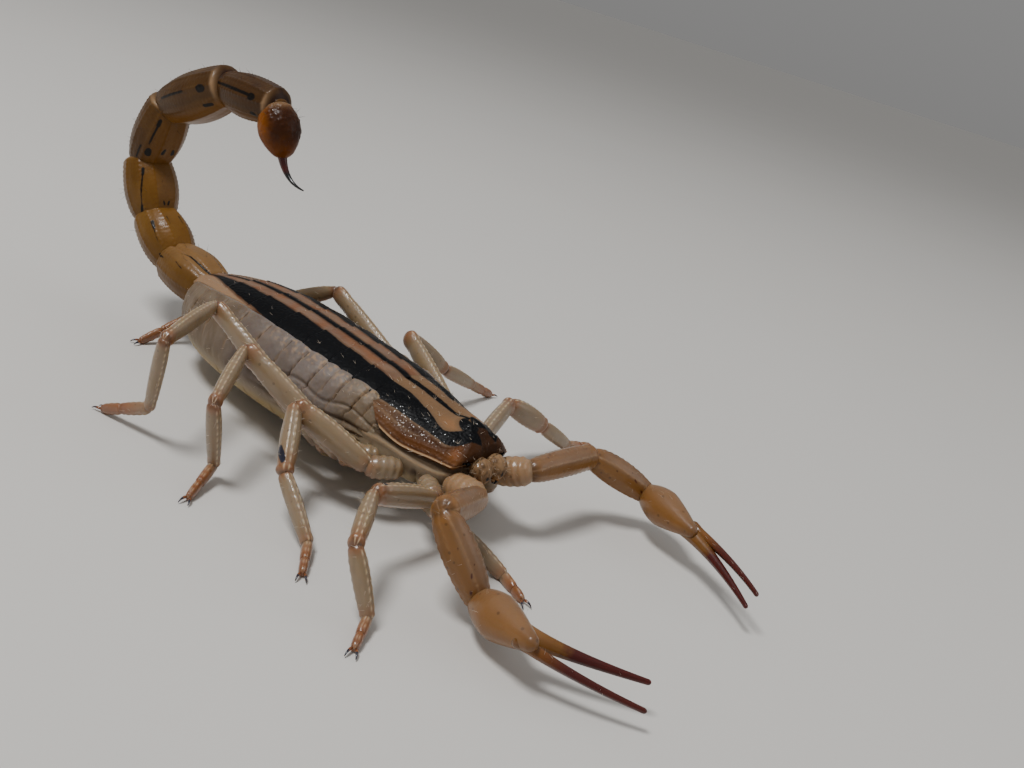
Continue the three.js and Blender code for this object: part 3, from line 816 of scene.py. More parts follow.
class ScorpionStage(bpy.types.PropertyGroup):
    """The floor, the lights and the viewpoint."""
    floor_size: length_setting("Floor", "Side of the floor", 6000)
    floor: colour_setting("Floor colour", "Plain pale floor", "#d5d2cd")
    floor_drift: colour_setting("Floor drift", "Where the floor is a touch lighter", "#d8d5d0")
    key_power: power_setting("Key light", "Power of the main soft light", 0.50)
    fill_power: power_setting("Fill light", "Power of the opposite soft light", 0.08)
    sky: bpy.props.FloatProperty(name="Sky", description="Strength of the even light from all round",
                                 default=0.40, min=0)
    overhead: colour_setting("Overhead", "Colour of the light from straight above", "#ffffff")
    horizon: colour_setting("Horizon", "Colour of the light from the horizon", "#c6c5c4")
    heading: angle_setting("Heading", "How far the viewer stands to the animal's right of ahead", 57.66)
    height: angle_setting("Height", "How far above level the viewer looks from", 20.2)
    roll: angle_setting("Roll", "How far the viewer's head is tilted", 17.5)
    distance: length_setting("Distance", "From the viewer to the middle of the animal", 52.92)
    target: bpy.props.FloatVectorProperty(name="Target", description="The point that is looked at", size=3,
                                          subtype="TRANSLATION", unit="LENGTH",
                                          default=(2.44 * MM, -5.24 * MM, 5.91 * MM))
    lens: bpy.props.FloatProperty(name="Lens", description="Focal length in millimetres", default=37.05,
                                  min=1)


def settings(context):
    """What a builder takes: the surface forms and the colours."""
    return context.scene.scorpion_form, context.scene.scorpion_colours


def in_mm(length):
    return length / MM


# ---------------------------------------------------------------- head

def stripe_depth(x, y):
    """How far inside the back's black pigment a point is, in millimetres; negative outside."""
    inner, outer = station(STRIPE, y)
    ragged = 0.03 * noise.noise((y * 2.2, x * 0.5, 6))
    side_stripe = min(abs(x) - inner, outer - abs(x)) + ragged
    narrowing = 0.07 * smooth(-6.6, -7.5, y) + 0.09 * smooth(5, 9, y)
    median = MEDIAN_LINE - narrowing + 0.04 * noise.noise((y * 1.3, 0, 3)) - abs(x)
    return max(side_stripe, median) if -8.6 < y < 9.4 else side_stripe


def halo(depth):
    """The brown edge that the skin has beside its black pigment."""
    return 0.7 * smooth(-0.22, -0.02, depth)


def granules(point, size):
    """Rounded grains standing on a plate, 0 to 1, one to each cell of the given size."""
    distance = noise.voronoi(point / size)[0][0]
    return max(0.0, 1 - (distance / 0.42) ** 2)


def shield_point(y, turn, opened):
    """A point on the head shield before its relief: a low dome that meets its margin at a slant."""
    half, margin, crown = station(SHIELD, y)
    across = math.sin(turn)
    dome = 1 - abs(across) ** (2.5 - 0.6 * smooth(-8.8, -9.6, y))
    z = margin + (crown - margin) * dome if math.cos(turn) > 0 else margin - 0.3 * dome
    return half * across * opened, margin + (z - margin) * opened


def shield_relief(x, y, edge):
    """Height added to the head shield: eye mound, furrows, front lobes and grains."""
    behind = y - EYE["y"]
    mound = (x / EYE_MOUND["half_width"]) ** 2 + (behind / EYE_MOUND["half_length"]) ** 2
    rise = EYE_MOUND["height"] * math.exp(-mound ** 2)
    rise -= EYE_MOUND["groove"] * bump(x, 0, 0.13) * bump(behind, 0, 0.8)
    for depth, width, at, drift, level, fades in SHIELD_FURROWS:
        furrow = depth * bump(abs(x), at + drift * (y - level), width)
        for start, end in fades:
            furrow *= smooth(start, end, y)
        rise -= furrow
    rise += FRONT_LOBE["height"] * bump(abs(x), FRONT_LOBE["x"], 0.42) * bump(y, FRONT_LOBE["y"], 0.40)
    grain_height = 0.022 + 0.03 * smooth(-9.2, -9.7, y)
    return rise + grain_height * granules(Vector((x, y, 0)), 0.24) * smooth(0, 0.25, edge)


def shield_marks(x, y, inset, depth):
    """Pigment and tints of the head shield; inset is the distance from its margin, in millimetres."""
    side = smooth(0.0, 0.12, abs(x) - station(STRIPE, y)[1])
    front = smooth(-9.0, -9.35, y) * smooth(1.9, 1.4, abs(x))
    blotch = clamp(0.5 + 1.2 * noise.noise((x * 1.1, y * 1.1, 5)))
    patch = bump(abs(x), 1.62, 0.42) * bump(y, -9.6, 0.36)
    behind_eyes = bump(abs(x), 0.95, 0.35) * bump(y, -8.4, 0.6)
    margin = smooth(0.55, 0.2, inset)
    second_line = bump(inset, 0.50, 0.045) * smooth(-8.2, -7.2, y)
    dark_side = side * (0.55 + 0.25 * blotch) * lerp(1, 0.35, margin) * (1 - 0.7 * patch)
    dark_front = 0.8 * front * (1 - 0.5 * patch)
    dark_rim = 0.7 * bump(inset, 0.15, 0.04)
    pale_band = 0.32 * (1 - side) * (1 - front)
    pale_rear = 0.10 * side * smooth(-7.5, -6.2, y) * (1 - blotch)
    return {
        "stain": depth,
        "brown": clamp(max(dark_side, dark_front, halo(depth), dark_rim) + 0.2 * bump(y, WAIST, 0.1)),
        "warm": clamp(max(0.5 * behind_eyes, 0.3 * side, 0.8 * patch)),
        "pale": clamp(0.85 * smooth(0.075, 0.03, inset) + 0.22 * second_line + pale_band + pale_rear),
        "grain": 1.0,
    }


def build_shield(colours):
    mesh = new_skin()
    front, rear = SHIELD[0][0] - 0.05, WAIST + 0.12
    length = rear - front

    def place(t, turn):
        angle = math.degrees(folded(turn))
        # The rear corners are rounded off, so the margin ends well ahead of the crown.
        outward = math.sin(math.radians(min(angle, 90)))
        y = lerp(front + 0.4 * outward ** 4, rear - 1.7 * outward ** 6, crowd(t))
        opened = min(closing(t * length, 0.5), closing((1 - t) * length, 0.10))
        x, z = shield_point(y, turn, opened)
        inset = station(SHIELD, y)[0] * (1 - math.sin(math.radians(angle)))
        top = smooth(92, 80, angle)
        rim = 0.05 * bump(inset, 0, 0.07) + 0.025 * bump(inset, 0.3, 0.06) - 0.05 * bump(inset, 0.15, 0.06)
        notch = 0.22 * bump(x, 0, 0.5) * bump(y, front, 0.6)
        lift = shield_relief(x, y, min(y - front, 1.0)) * top * opened
        point = (x + math.copysign(rim, x) * opened, y + notch, z + lift + rim * opened)
        ring = EYE_RING - math.hypot(abs(x) - EYE["x"], (y - EYE["y"]) * 0.8)
        depth = max(stripe_depth(x, y), ring) if angle < 90 else -1.0
        return point, shield_marks(x, y, inset, depth)

    wrap(mesh, 200, 190, place)
    add_side_eyes(mesh)
    finish_piece("head_shield", mesh, shield_cuticle(colours), "back_shell", "carapace")


def add_side_eyes(mesh):
    """The small eyes at the front corners of the shield, black beads set above its margin."""
    for side in SIDES.values():
        for x, y, z in SIDE_EYES:
            add_bead(mesh, (side * x, y, z), SIDE_EYE_RADIUS, {"stain": 1.0}, stretch=(1.1, 1.1, 0.8))


def add_bead(mesh, centre, radius, marks, stretch=(1, 1, 1)):
    """Adds a small rounded bead, stretched along the axes."""
    bead = bmesh.ops.create_icosphere(mesh, subdivisions=3, radius=1.0)["verts"]
    for vertex in bead:
        offset = Vector([c * s * radius for c, s in zip(vertex.co, stretch)])
        put(mesh, vertex, Vector(centre) + offset, marks)


def build_eyes(colours):
    material = eye_lens(colours)
    for side_name, side in SIDES.items():
        mesh = new_skin()
        centre = (side * EYE["x"], EYE["y"], EYE["z"] + 0.01)
        add_bead(mesh, centre, EYE["radius"], {}, stretch=(0.95, 1.05, 1))
        finish_piece(f"median_eye_{side_name}", mesh, material, "eye_lens", f"eye_{side_name}")


def jaw_marks(side):
    """Tints of a jaw: a fine dark net on brown, an orange end, and a dark spot on its front."""
    def marks(s, turn):
        net = abs(noise.noise((s * 9, math.sin(turn) * 3.6, math.cos(turn) * 3.6 + 9 * side)))
        return {
            "stain": 0.07 - math.hypot((s - 0.80) * 1.2, (math.degrees(folded(turn)) - 16) / 150),
            "brown": 0.6 * smooth(0.10, 0.02, net) * smooth(1.0, 0.8, s) + 0.3 * smooth(0.3, 0.0, s),
            "warm": smooth(0.70, 0.92, s),
            "pale": 0.2 * smooth(0.2, 0.4, net),
            "grain": 1.0,
        }
    return marks


def build_jaw(side_name, colours):
    """One jaw: a swollen base that hangs in front of the shield and ends in two small dark fangs."""
    side = SIDES[side_name]
    mesh = new_skin()
    x = side * JAW["spread"]
    tip = Vector((x, JAW["front"], JAW["tip"]))
    line = arc(Vector((x, JAW["back"], JAW["top"] - 0.35)),
               Vector((x * 1.04, JAW["front"], JAW["top"] + 0.35)), tip)

    def relief(s, turn):
        ridge = 0.05 * bump(math.degrees(folded(turn)), 60, 16) * math.sin(math.pi * s)
        return ridge + 0.035 * granules(Vector((s * 1.6, math.sin(turn), math.cos(turn) + side)), 0.2)

    tube(mesh, line, AHEAD, barrel(JAW["radius"], 0.85, 0.72, 0.5), jaw_marks(side), relief, 0.95, cap=0.5,
         around=56, along=60)
    for across, reach, radius in JAW_FANGS:
        outward = across * side
        root = tip + Vector((outward, 0.06, 0.10))
        bend = root + Vector((outward * 0.6, -0.12, -reach * 0.6))
        claw(mesh, root, bend, root + Vector((-outward * 0.7, -0.05, -reach)), radius, 0.03,
             lambda s, turn: {"stain": s - 0.45, "warm": 1.0})
    finish_piece(f"jaw_{side_name}", mesh, jaw_cuticle(colours), "arm_shell", f"chelicera_{side_name}")


def build_leg_bases(colours):
    """The bases of arms and legs: four swollen wedges a side that meet at the breast plate."""
    mesh = new_skin()
    front, rear = LEG_BASES[0][0], WAIST + 0.15
    hips = [pair["hip"][1] for pair in LEG_PAIRS]
    gaps = [(a + b) / 2 for a, b in zip(hips, hips[1:])]

    def place(t, turn):
        y = lerp(front, rear, crowd(t))
        half, bottom, top = station(LEG_BASES, y)
        opened = min(closing(y - front, 0.5), closing(rear - y, 0.3))
        across, height = rounded(math.sin(turn)), rounded(math.cos(turn))
        middle = lerp(bottom, top, 0.45)
        flank = smooth(0.25, 0.7, abs(across))
        low = smooth(0.15, -0.35, height)
        outward = abs(across * half)
        seam = max(bump(y + 0.25 * (outward - 2), gap, 0.12) for gap in gaps)
        level = 0.27 + 0.03 * math.sin(y * 1.7)
        fold = bump(height, level, 0.035) * flank
        swell = flank * (0.26 - 0.30 * seam * low) + 0.04 * fold
        breast = bump(outward, 0.5, 0.08) * smooth(-9.0, -8.4, y) * smooth(0, -0.3, height)
        reach = top - middle if height > 0 else middle - bottom
        x = half * across + across * swell
        z = middle + reach * height + height * swell + 0.07 * breast
        point = (x * opened, y, middle + (z - middle) * opened)
        # Painted shade: the skin under the shield's margin, lower down towards the front, and in the seams
        # between the bases is darkened with the crease colour.
        shaded = max(smooth(level + 0.05, level + 0.10, height),
                     0.5 * bump(height, level - 0.11, 0.05),
                     0.9 * smooth(-7.0, -7.8, y) * bump(height, level - 0.30, 0.22))
        return point, {"stain": -1.0,
                       "brown": clamp(0.6 * seam * flank * low + 0.35 * breast + 0.85 * shaded * flank),
                       "warm": 0.45 + 0.2 * low, "pale": 0.6 * fold, "grain": 0.5}

    wrap(mesh, 128, 120, place)
    finish_piece("leg_bases", mesh, belly_membrane(colours), "belly_membrane", "coxae")


# ---------------------------------------------------------------- trunk

def plate_edges():
    """Where each back plate starts and ends along the body."""
    edges = [WAIST]
    for length, *_ in BACK_PLATES:
        edges.append(edges[-1] + length)
    return edges


def trunk_point(y, turn, swell=0.0):
    """A point of the trunk's section at y; turn is 0 on the back."""
    half, bottom, top = station(TRUNK, y)
    middle = lerp(bottom, top, 0.45)
    across, height = rounded(math.sin(turn)), rounded(math.cos(turn))
    reach = (top - middle if height > 0 else middle - bottom) + swell
    return Vector(((half + swell) * across, y, middle + reach * height))


def row_wave(y):
    """How far the edge between the two rows of cushions waves up and down, in degrees."""
    return 3 * math.sin(y * 1.9)


def flank_form(y, angle):
    """How full a point of the flank's soft cushions is, from 0 in a crease to 1, and how creased it is."""
    lower_row = smooth(ROW_EDGE - 3, ROW_EDGE + 3, angle + row_wave(y))
    wander = 0.08 * noise.noise((y * 0.8, angle * 0.05, 2)) + 0.004 * (angle - 45)
    along = y - wander - 0.15 * lower_row
    index = bisect.bisect(FLANK_CREASES, (along, 0))
    if index in (0, len(FLANK_CREASES)):
        return 1.0, 0.0
    (near, near_depth), (far, far_depth) = FLANK_CREASES[index - 1], FLANK_CREASES[index]
    share = (along - near) / (far - near)
    to_edge = min(share, 1 - share) * (far - near)
    depth = (near_depth if share < 0.5 else far_depth) * (1 - 0.45 * lower_row)
    fullness = 1 - depth * (1 - math.sin(math.pi * share) ** 0.5)
    return fullness, depth * bump(to_edge, 0, 0.045)


def long_folds(y, angle):
    """Long folds of the flank: one between its two rows of cushions, three below them."""
    fold = 0.7 * bump(angle, ROW_EDGE + row_wave(y), 1.4) * smooth(6.0, 2.5, y)
    for level, end in LONG_FOLDS:
        line = level + 2.5 * math.sin(y * 0.9 + level)
        fold = max(fold, bump(angle, line, 1.5) * smooth(end + 1.5, end - 1, y))
    return fold


def belly_point(y, turn, edges, depth):
    """A point of the soft trunk with its creases, and what its material needs."""
    angle = math.degrees(folded(turn))
    radians = math.radians(angle)
    full, crease = flank_form(y, angle)
    flank = smooth(37 + 4 * (1 - full), 42 + 3 * (1 - full), angle) * smooth(112, 92, angle)
    below = smooth(104, 122, angle)
    crease *= flank * smooth(96, 78, angle)
    fold = long_folds(y, angle)
    wrinkle = 0.03 * noise.noise((y * 3.2, radians * 6.0, 1))
    wrinkle += 0.014 * noise.noise((y * 9, radians * 16.0, 1))
    under_back = -0.16 * smooth(40, 34, angle)
    under_shield = -0.20 * smooth(-5.5, -6.3, y) * smooth(84, 66, angle)
    breast = max(bump(y, edge + 0.3, 0.07) for edge in edges[1:-1])
    swell = flank * 0.08 * full * (1 - fold) - depth * (crease + 0.7 * fold) + wrinkle * flank
    swell += under_back + under_shield - 0.05 * breast * below
    mottle = clamp(0.4 + 1.2 * noise.noise((y * 1.1, angle * 0.07, 4)))
    ahead = smooth(-2.2, -5.0, y)
    top = smooth(62, 44, angle)
    grains = smooth(0.1, 0.3, noise.noise((y * 4.5, radians * 13, 6))) * top * smooth(3.5, 0.5, y)
    tanned = 0.08 + 0.25 * mottle + 0.3 * ahead * smooth(84, 60, angle) + 0.35 * smooth(-0.5, 4.0, y)
    creamy = 0.4 * ahead + 0.3 * smooth(3, 6, y)
    return trunk_point(y, turn, swell), {
        "stain": -1.0,
        # Painted shade: the creases, the long folds and the seams of the breast plates are darkened with the
        # crease colour; the tanned share is the flank's own browner colour.
        "brown": clamp(0.85 * crease + 0.45 * fold + 0.35 * breast * below + flank * tanned),
        "warm": clamp(0.8 * below + 0.35 * smooth(88, 104, angle) + flank * creamy),
        "pale": clamp(0.55 * grains * flank + 0.35 * flank * bump(crease, 0.25, 0.16)),
        "grain": 0.5 + 0.5 * top,
    }


def build_belly(form, colours):
    mesh = new_skin()
    edges = plate_edges()
    front, rear = TRUNK[0][0], TRUNK[-1][0] + 0.12
    depth = in_mm(form.crease_depth)

    def place(t, turn):
        y = lerp(front, rear, crowd(t, 0.5))
        opened = min(closing(y - front, 0.9), closing(rear - y, 0.6))
        point, marks = belly_point(y, turn, edges, depth)
        centre = Vector((0, y, 3.4))
        return centre + (point - centre) * opened, marks

    wrap(mesh, 230, 330, place)
    finish_piece("trunk_skin", mesh, belly_membrane(colours), "belly_membrane", "belly")


def plate_skin(mesh, place, columns, rows, thickness):
    """Adds a curved plate: a grid laid over the body and given its thickness inwards."""
    grid = bmesh.ops.create_grid(mesh, x_segments=columns, y_segments=rows, size=0.5)["verts"]
    for vertex in grid:
        point, marks = place(vertex.co.x * 2, vertex.co.y + 0.5)
        put(mesh, vertex, point, marks)
    sheet = list(dict.fromkeys(face for vertex in grid for face in vertex.link_faces))
    bmesh.ops.recalc_face_normals(mesh, faces=sheet)
    bmesh.ops.solidify(mesh, geom=sheet, thickness=thickness)

    # The new faces come in no fixed order, and hairs are sown by that order, so they are put in one.
    mesh.verts.index_update()
    count = len(mesh.verts)

    def order(face):
        first, second, third, *_ = sorted(vertex.index for vertex in face.verts)
        return (first * count + second) * count + third

    mesh.faces.sort(key=order)


def plate_reach(y, half):
    """How far round the trunk, as an angle, the edge of a plate of this half width lies."""
    return math.asin(clamp(half / station(TRUNK, y)[0]) ** (SECTION_POWER / 2))


def back_plate_place(index, edges, form):
    """Where the points of one back plate lie: across from -1 to 1, along from 0 at its front to 1."""
    front, rear = edges[index], edges[index + 1]
    _, half_front, half_rear = BACK_PLATES[index]
    step = in_mm(form.plate_step)
    tuck = 0.30 if index else 0.05
    last = index == len(BACK_PLATES) - 1

    def place(across, along):
        y = lerp(front - tuck, rear + 0.06, along)
        share = clamp((y - front) / (rear - front))
        half = lerp(half_front, half_rear, share) + 0.04
        turn = across * plate_reach(y, half)
        lift = lerp(-0.01, step, smooth(0.0, 0.95, along))
        lip = -0.05 * smooth(0.95, 1.0, along) - 0.20 * smooth(0.88, 1.0, abs(across))
        point = trunk_point(y, turn, lift + lip)
        x = point.x
        keel = 0.04 * bump(x, 0, 0.12) * smooth(0.1, 0.4, along)
        keel += 0.03 * bump(abs(x), 1.0, 0.12) * smooth(0.3, 0.9, along)
        if last:
            keel += 0.08 * bump(abs(x), lerp(1.9, 1.0, share), 0.10)
        row = 0.025 * bump(along, 0.93, 0.035) * (0.5 + 0.5 * math.cos(x * TAU / 0.24))
        grains = 0.012 * granules(Vector((x, y, 0)), 0.22) * smooth(0.1, 0.3, along)
        point.z += keel + row + grains
        point.y += 0.10 * (1 - across ** 2) * smooth(0.6, 1.0, along)
        depth = stripe_depth(x, y)
        beyond = smooth(0.05, 0.2, abs(x) - station(STRIPE, y)[1])
        rosy = clamp(0.3 + 1.6 * noise.noise((x * 1.2, y * 1.4, 8)))
        dusky = clamp(1.6 * noise.noise((x * 1.2, y * 1.1, 12)))
        return point, {
            "stain": depth,
            "brown": clamp(max(halo(depth), 0.35 * dusky) * (1 - beyond) + 0.15 * bump(along, 0.97, 0.02)),
            "warm": clamp(0.4 * rosy * (1 - beyond)),
            "pale": clamp(0.5 * beyond + 0.15 * (1 - rosy) * (1 - beyond)),
            "grain": 0.8,
        }

    return place


def build_back_plates(form, colours):
    material = back_cuticle(colours)
    edges = plate_edges()
    for index in range(len(BACK_PLATES)):
        mesh = new_skin()
        plate_skin(mesh, back_plate_place(index, edges, form), 150, 44, form.plate_thickness)
        finish_piece(f"back_plate_{index + 1}", mesh, material, "back_shell", f"tergite_{index + 1}")


def breast_plate_place(index, front, rear):
    """Where the points of one breast plate lie, and its pair of breathing slits."""
    def place(across, along):
        y = lerp(front + 0.1, rear + 0.42, along)
        half = 2.2 if index < 3 else lerp(2.0, 1.3, (index - 3 + along) / 2)
        half -= 0.5 * smooth(0.8, 1.0, along) ** 2
        lift = lerp(-0.05, 0.09, smooth(0, 0.9, along)) - 0.08 * smooth(0.92, 1.0, abs(across))
        point = trunk_point(y, math.pi - across * plate_reach(y, half), lift)
        from_slit = (along - 0.5) * (rear - front) - 0.1 * point.x ** 2 + 0.15
        slit = math.hypot((abs(point.x) - 1.35) / 3, from_slit)
        return point, {"stain": 0.05 - slit, "warm": 0.75, "brown": 0.3 * bump(along, 0.98, 0.03),
                       "grain": 0.2}
    return place


def build_breast_plates(colours):
    """The five smooth plates under the trunk."""
    mesh = new_skin()
    edges = plate_edges()[2:]
    for index, (front, rear) in enumerate(zip(edges, edges[1:])):
        plate_skin(mesh, breast_plate_place(index, front, rear), 60, 24, BREAST_PLATE_THICKNESS * MM)
    finish_piece("belly_plates", mesh, belly_membrane(colours), "belly_membrane")


def build_comb(side_name, colours):
    """One comb-like sense organ under the trunk: a flat spine with a row of teeth."""
    side = SIDES[side_name]
    mesh = new_skin()
    root = Vector((side * COMB["root"], COMB["y"] + 0.25, COMB["z"] + 0.02))
    tip = Vector((side * COMB["reach"] * 0.97, COMB["y"] + COMB["sweep"] + 0.15, COMB["z"]))

    def marks(s, turn):
        return {"stain": -1.0, "warm": 0.6, "grain": 0.2}

    spine = arc(root, (root + tip) / 2 + Vector((0, -0.12, 0)), tip)
    tube(mesh, spine, UP, barrel(0.2, 0.8, 0.6), marks, cap=0.12, around=14, along=28)
    back = Vector((-side * (tip - root).y, side * (tip - root).x, 0)).normalized()
    for index in range(COMB["teeth"]):
        share = (index + 0.6) / COMB["teeth"]
        foot = spine[0](share)
        length = COMB["tooth"] * math.sin(math.pi * lerp(0.2, 0.85, share))
        bend = foot + back * length * 0.6 + Vector((0, 0, -0.03))
        claw(mesh, foot, bend, foot + back * (length + 0.12), 0.085, 0.06, marks, around=8, along=10)
    finish_piece(f"comb_{side_name}", mesh, belly_membrane(colours), "belly_membrane",
                 f"pectine_{side_name}")


# ---------------------------------------------------------------- tail

def tail_joints():
    joints = [TAIL_ROOT.copy()]
    for length, _, pitch in TAIL_RINGS:
        joints.append(joints[-1] + aim(1, (180, pitch), length))
    return joints


def dorsal(pitch):
    """Which way the upper face of a tail ring points: towards the inside of the tail's curl."""
    angle = math.radians(pitch)
    return Vector((0, -math.sin(angle), math.cos(angle)))


def stroke_depth(strokes, s, angle, length, radius):
    """How far inside the nearest dark stroke a point of a ring lies, in millimetres."""
    deepest = -1.0
    for (s0, a0), (s1, a1), wide0, wide1 in strokes:
        along = Vector(((s1 - s0) * length, math.radians(a1 - a0) * radius))
        away = Vector(((s - s0) * length, math.radians(angle - a0) * radius))
        t = clamp(away.dot(along) / max(along.length_squared, 1e-9))
        deepest = max(deepest, lerp(wide0, wide1, t) - (away - along * t).length)
    return deepest


def ring_girth(radius):
    """Girth of a tail ring: a strong bulge on the inner side of the curl, a flatter outer side."""
    def girth(s, turn):
        inner = (1 + math.cos(turn)) / 2
        near, far = lerp(0.70, 0.60, inner), lerp(0.84, 0.66, inner)
        edge = near if s < 0.5 else far
        swell = math.sin(math.pi * clamp(s if s < 0.5 else 1 - s)) ** 0.85
        collar = 0.015 * bump(s, 0.925, 0.03) - 0.04 * bump(s, 0.965, 0.02)
        return radius * (lerp(edge, 1.0, swell) + collar)
    return girth


def build_ring(index, joints, form, material):
    length, thickness, pitch = TAIL_RINGS[index]
    outer_brown_and_shade, dusk, pinkish, amber, pale_rim_and_highlight, widened = RING_SHADES[index]
    radius = thickness / 2
    mesh = new_skin()
    start, end = joints[index], joints[index + 1]
    keel = in_mm(form.keel_height)
    overrun = OVERRUN * thickness
    run = (end - start).normalized() * overrun
    line = arc(start - run, (start + end) / 2, end + run)
    whole = line[2]

    def relief(s, turn):
        angle = math.degrees(folded(turn))
        body = smooth(0.08, 0.2, s) * smooth(0.97, 0.86, s)
        beads = 0.75 + 0.25 * math.cos(s * whole * TAU / RING_BEADS)
        ridges = sum(bump(angle, at, 4.2) for at in RING_KEELS) * keel * beads
        furrow = 0.10 * bump(angle, 0, 17) + (0.14 * bump(angle, 28, 7) if index == 0 else 0)
        return body * (ridges - furrow)

    def marks(s, turn):
        angle = math.degrees(folded(turn))
        share = (s * whole - overrun) / length
        cloud = 0.75 + 0.4 * noise.noise((s * 5, angle * 0.03, index))
        # Painted shade: the outer side is darkened, partly in its own brown and partly as the shade it lies
        # in, and dusk darkens the last rings all round as painted shade.
        outer = outer_brown_and_shade * smooth(100, 128, angle) * cloud
        dusky = dusk * (1 - 0.5 * smooth(75, 40, angle))
        hinge = max(smooth(0.12, 0.03, s), smooth(0.95, 0.99, s))
        # The pale rim before the far end is partly the collar's own colour and partly a painted highlight.
        rim = pale_rim_and_highlight * bump(s, 0.93, 0.022) * bump(angle, 95, 40)
        underside = 0.5 * smooth(120, 165, angle) * (1 - outer_brown_and_shade)
        return {
            "stain": stroke_depth(RING_STROKES[index], share, angle, length, radius) + widened,
            "brown": clamp(max(outer, dusky) + 0.55 * hinge),
            "warm": clamp(0.75 * amber * smooth(75, 30, angle) + underside),
            "pale": clamp(rim + pinkish * smooth(80, 30, angle)),
            "grain": 0.5,
        }

    tube(mesh, line, dorsal(pitch), ring_girth(radius), marks, relief, cap=0.34 * radius, around=120,
         along=84)
    next_pitch = TAIL_RINGS[index + 1][2] if index + 1 < len(TAIL_RINGS) else BULB["pitch"]
    add_hinge(mesh, end, (pitch + next_pitch) / 2, thickness)
    finish_piece(f"tail_skin_{index + 1}", mesh, material, "tail_shell", f"tail_ring_{index + 1}")


def add_hinge(mesh, centre, pitch, thickness):
    """The soft skin between two rings, seen where they bend apart."""
    reach = aim(1, (180, pitch), 0.18 * thickness)
    line = arc(centre - reach, centre, centre + reach)
    tube(mesh, line, dorsal(pitch), lambda s, turn: thickness * 0.30,
         lambda s, turn: {"stain": -1.0, "brown": 0.55, "warm": 0.4}, around=32, along=16)


def build_tail(form, colours):
    material = tail_cuticle(colours)
    joints = tail_joints()
    for index in range(len(TAIL_RINGS)):
        build_ring(index, joints, form, material)


def build_bulb(colours):
    """The sting bulb: a pear hung below the last ring, with coarse grains on its outer side."""
    mesh = new_skin()
    start = tail_joints()[-1]
    ahead = aim(1, (180, BULB["pitch"]), 1)
    run = ahead * OVERRUN * BULB["thickness"]
    line = arc(start - run, start + ahead * BULB["length"] / 2, start + ahead * BULB["length"] + run)
    radius = BULB["thickness"] / 2
    fullest = 0.46

    def girth(s, turn):
        outer = (1 - math.cos(turn)) / 2
        near = s / fullest if s < fullest else (1 - s) / (1 - fullest)
        edge = 0.52 if s < fullest else lerp(0.22, 0.34, outer)
        return radius * lerp(edge, 1.02, math.sin(clamp(near) * math.pi / 2) ** 0.9)

    def relief(s, turn):
        angle = math.degrees(folded(turn))
        coarse = smooth(40, 110, angle) * smooth(0.02, 0.12, s) * smooth(0.9, 0.6, s)
        place = Vector((s * line[2], radius * math.sin(turn), radius * math.cos(turn)))
        return 0.04 * granules(place, 0.24) * coarse

    def marks(s, turn):
        angle = math.degrees(folded(turn))
        dark_back = 0.75 * smooth(80, 135, angle) * smooth(0.9, 0.6, s)
        return {
            "stain": -1.0,
            "brown": clamp(dark_back + 0.25 * smooth(0.75, 1.0, s)),
            "warm": 0.30 * smooth(110, 60, angle) * smooth(0.9, 0.3, s),
            "pale": 0.35 * bump(s, 0.08, 0.07),
            "grain": smooth(0.9, 0.4, s),
        }

    tube(mesh, line, dorsal(BULB["pitch"]), girth, marks, relief, cap=0.3, around=120, along=84)
    finish_piece("sting_bulb_skin", mesh, bulb_cuticle(colours), "dark_claw", "telson_vesicle")


def build_sting(colours):
    """The sting: a curved needle that thins evenly to its point."""
    mesh = new_skin()
    ahead = aim(1, (180, BULB["pitch"]), 1)
    base = tail_joints()[-1] + ahead * BULB["length"]
    bend = base + Vector((0, -0.45, -STING["drop"]))
    tip = base + Vector((0, -STING["reach"], -STING["drop"] * 0.95))

    def girth(s, turn):
        return lerp(STING["radius"], STING["tip"], s ** 0.62)

    def marks(s, turn):
        return {"stain": (s - 0.45) * 0.4, "warm": 0.25 * smooth(0.2, 0.0, s)}

    tube(mesh, arc(base - ahead * 0.3, bend, tip), dorsal(BULB["pitch"]), girth, marks, along=48)
    finish_piece("sting_needle", mesh, claw_cuticle(colours), "dark_claw", "telson_sting")


# ---------------------------------------------------------------- legs

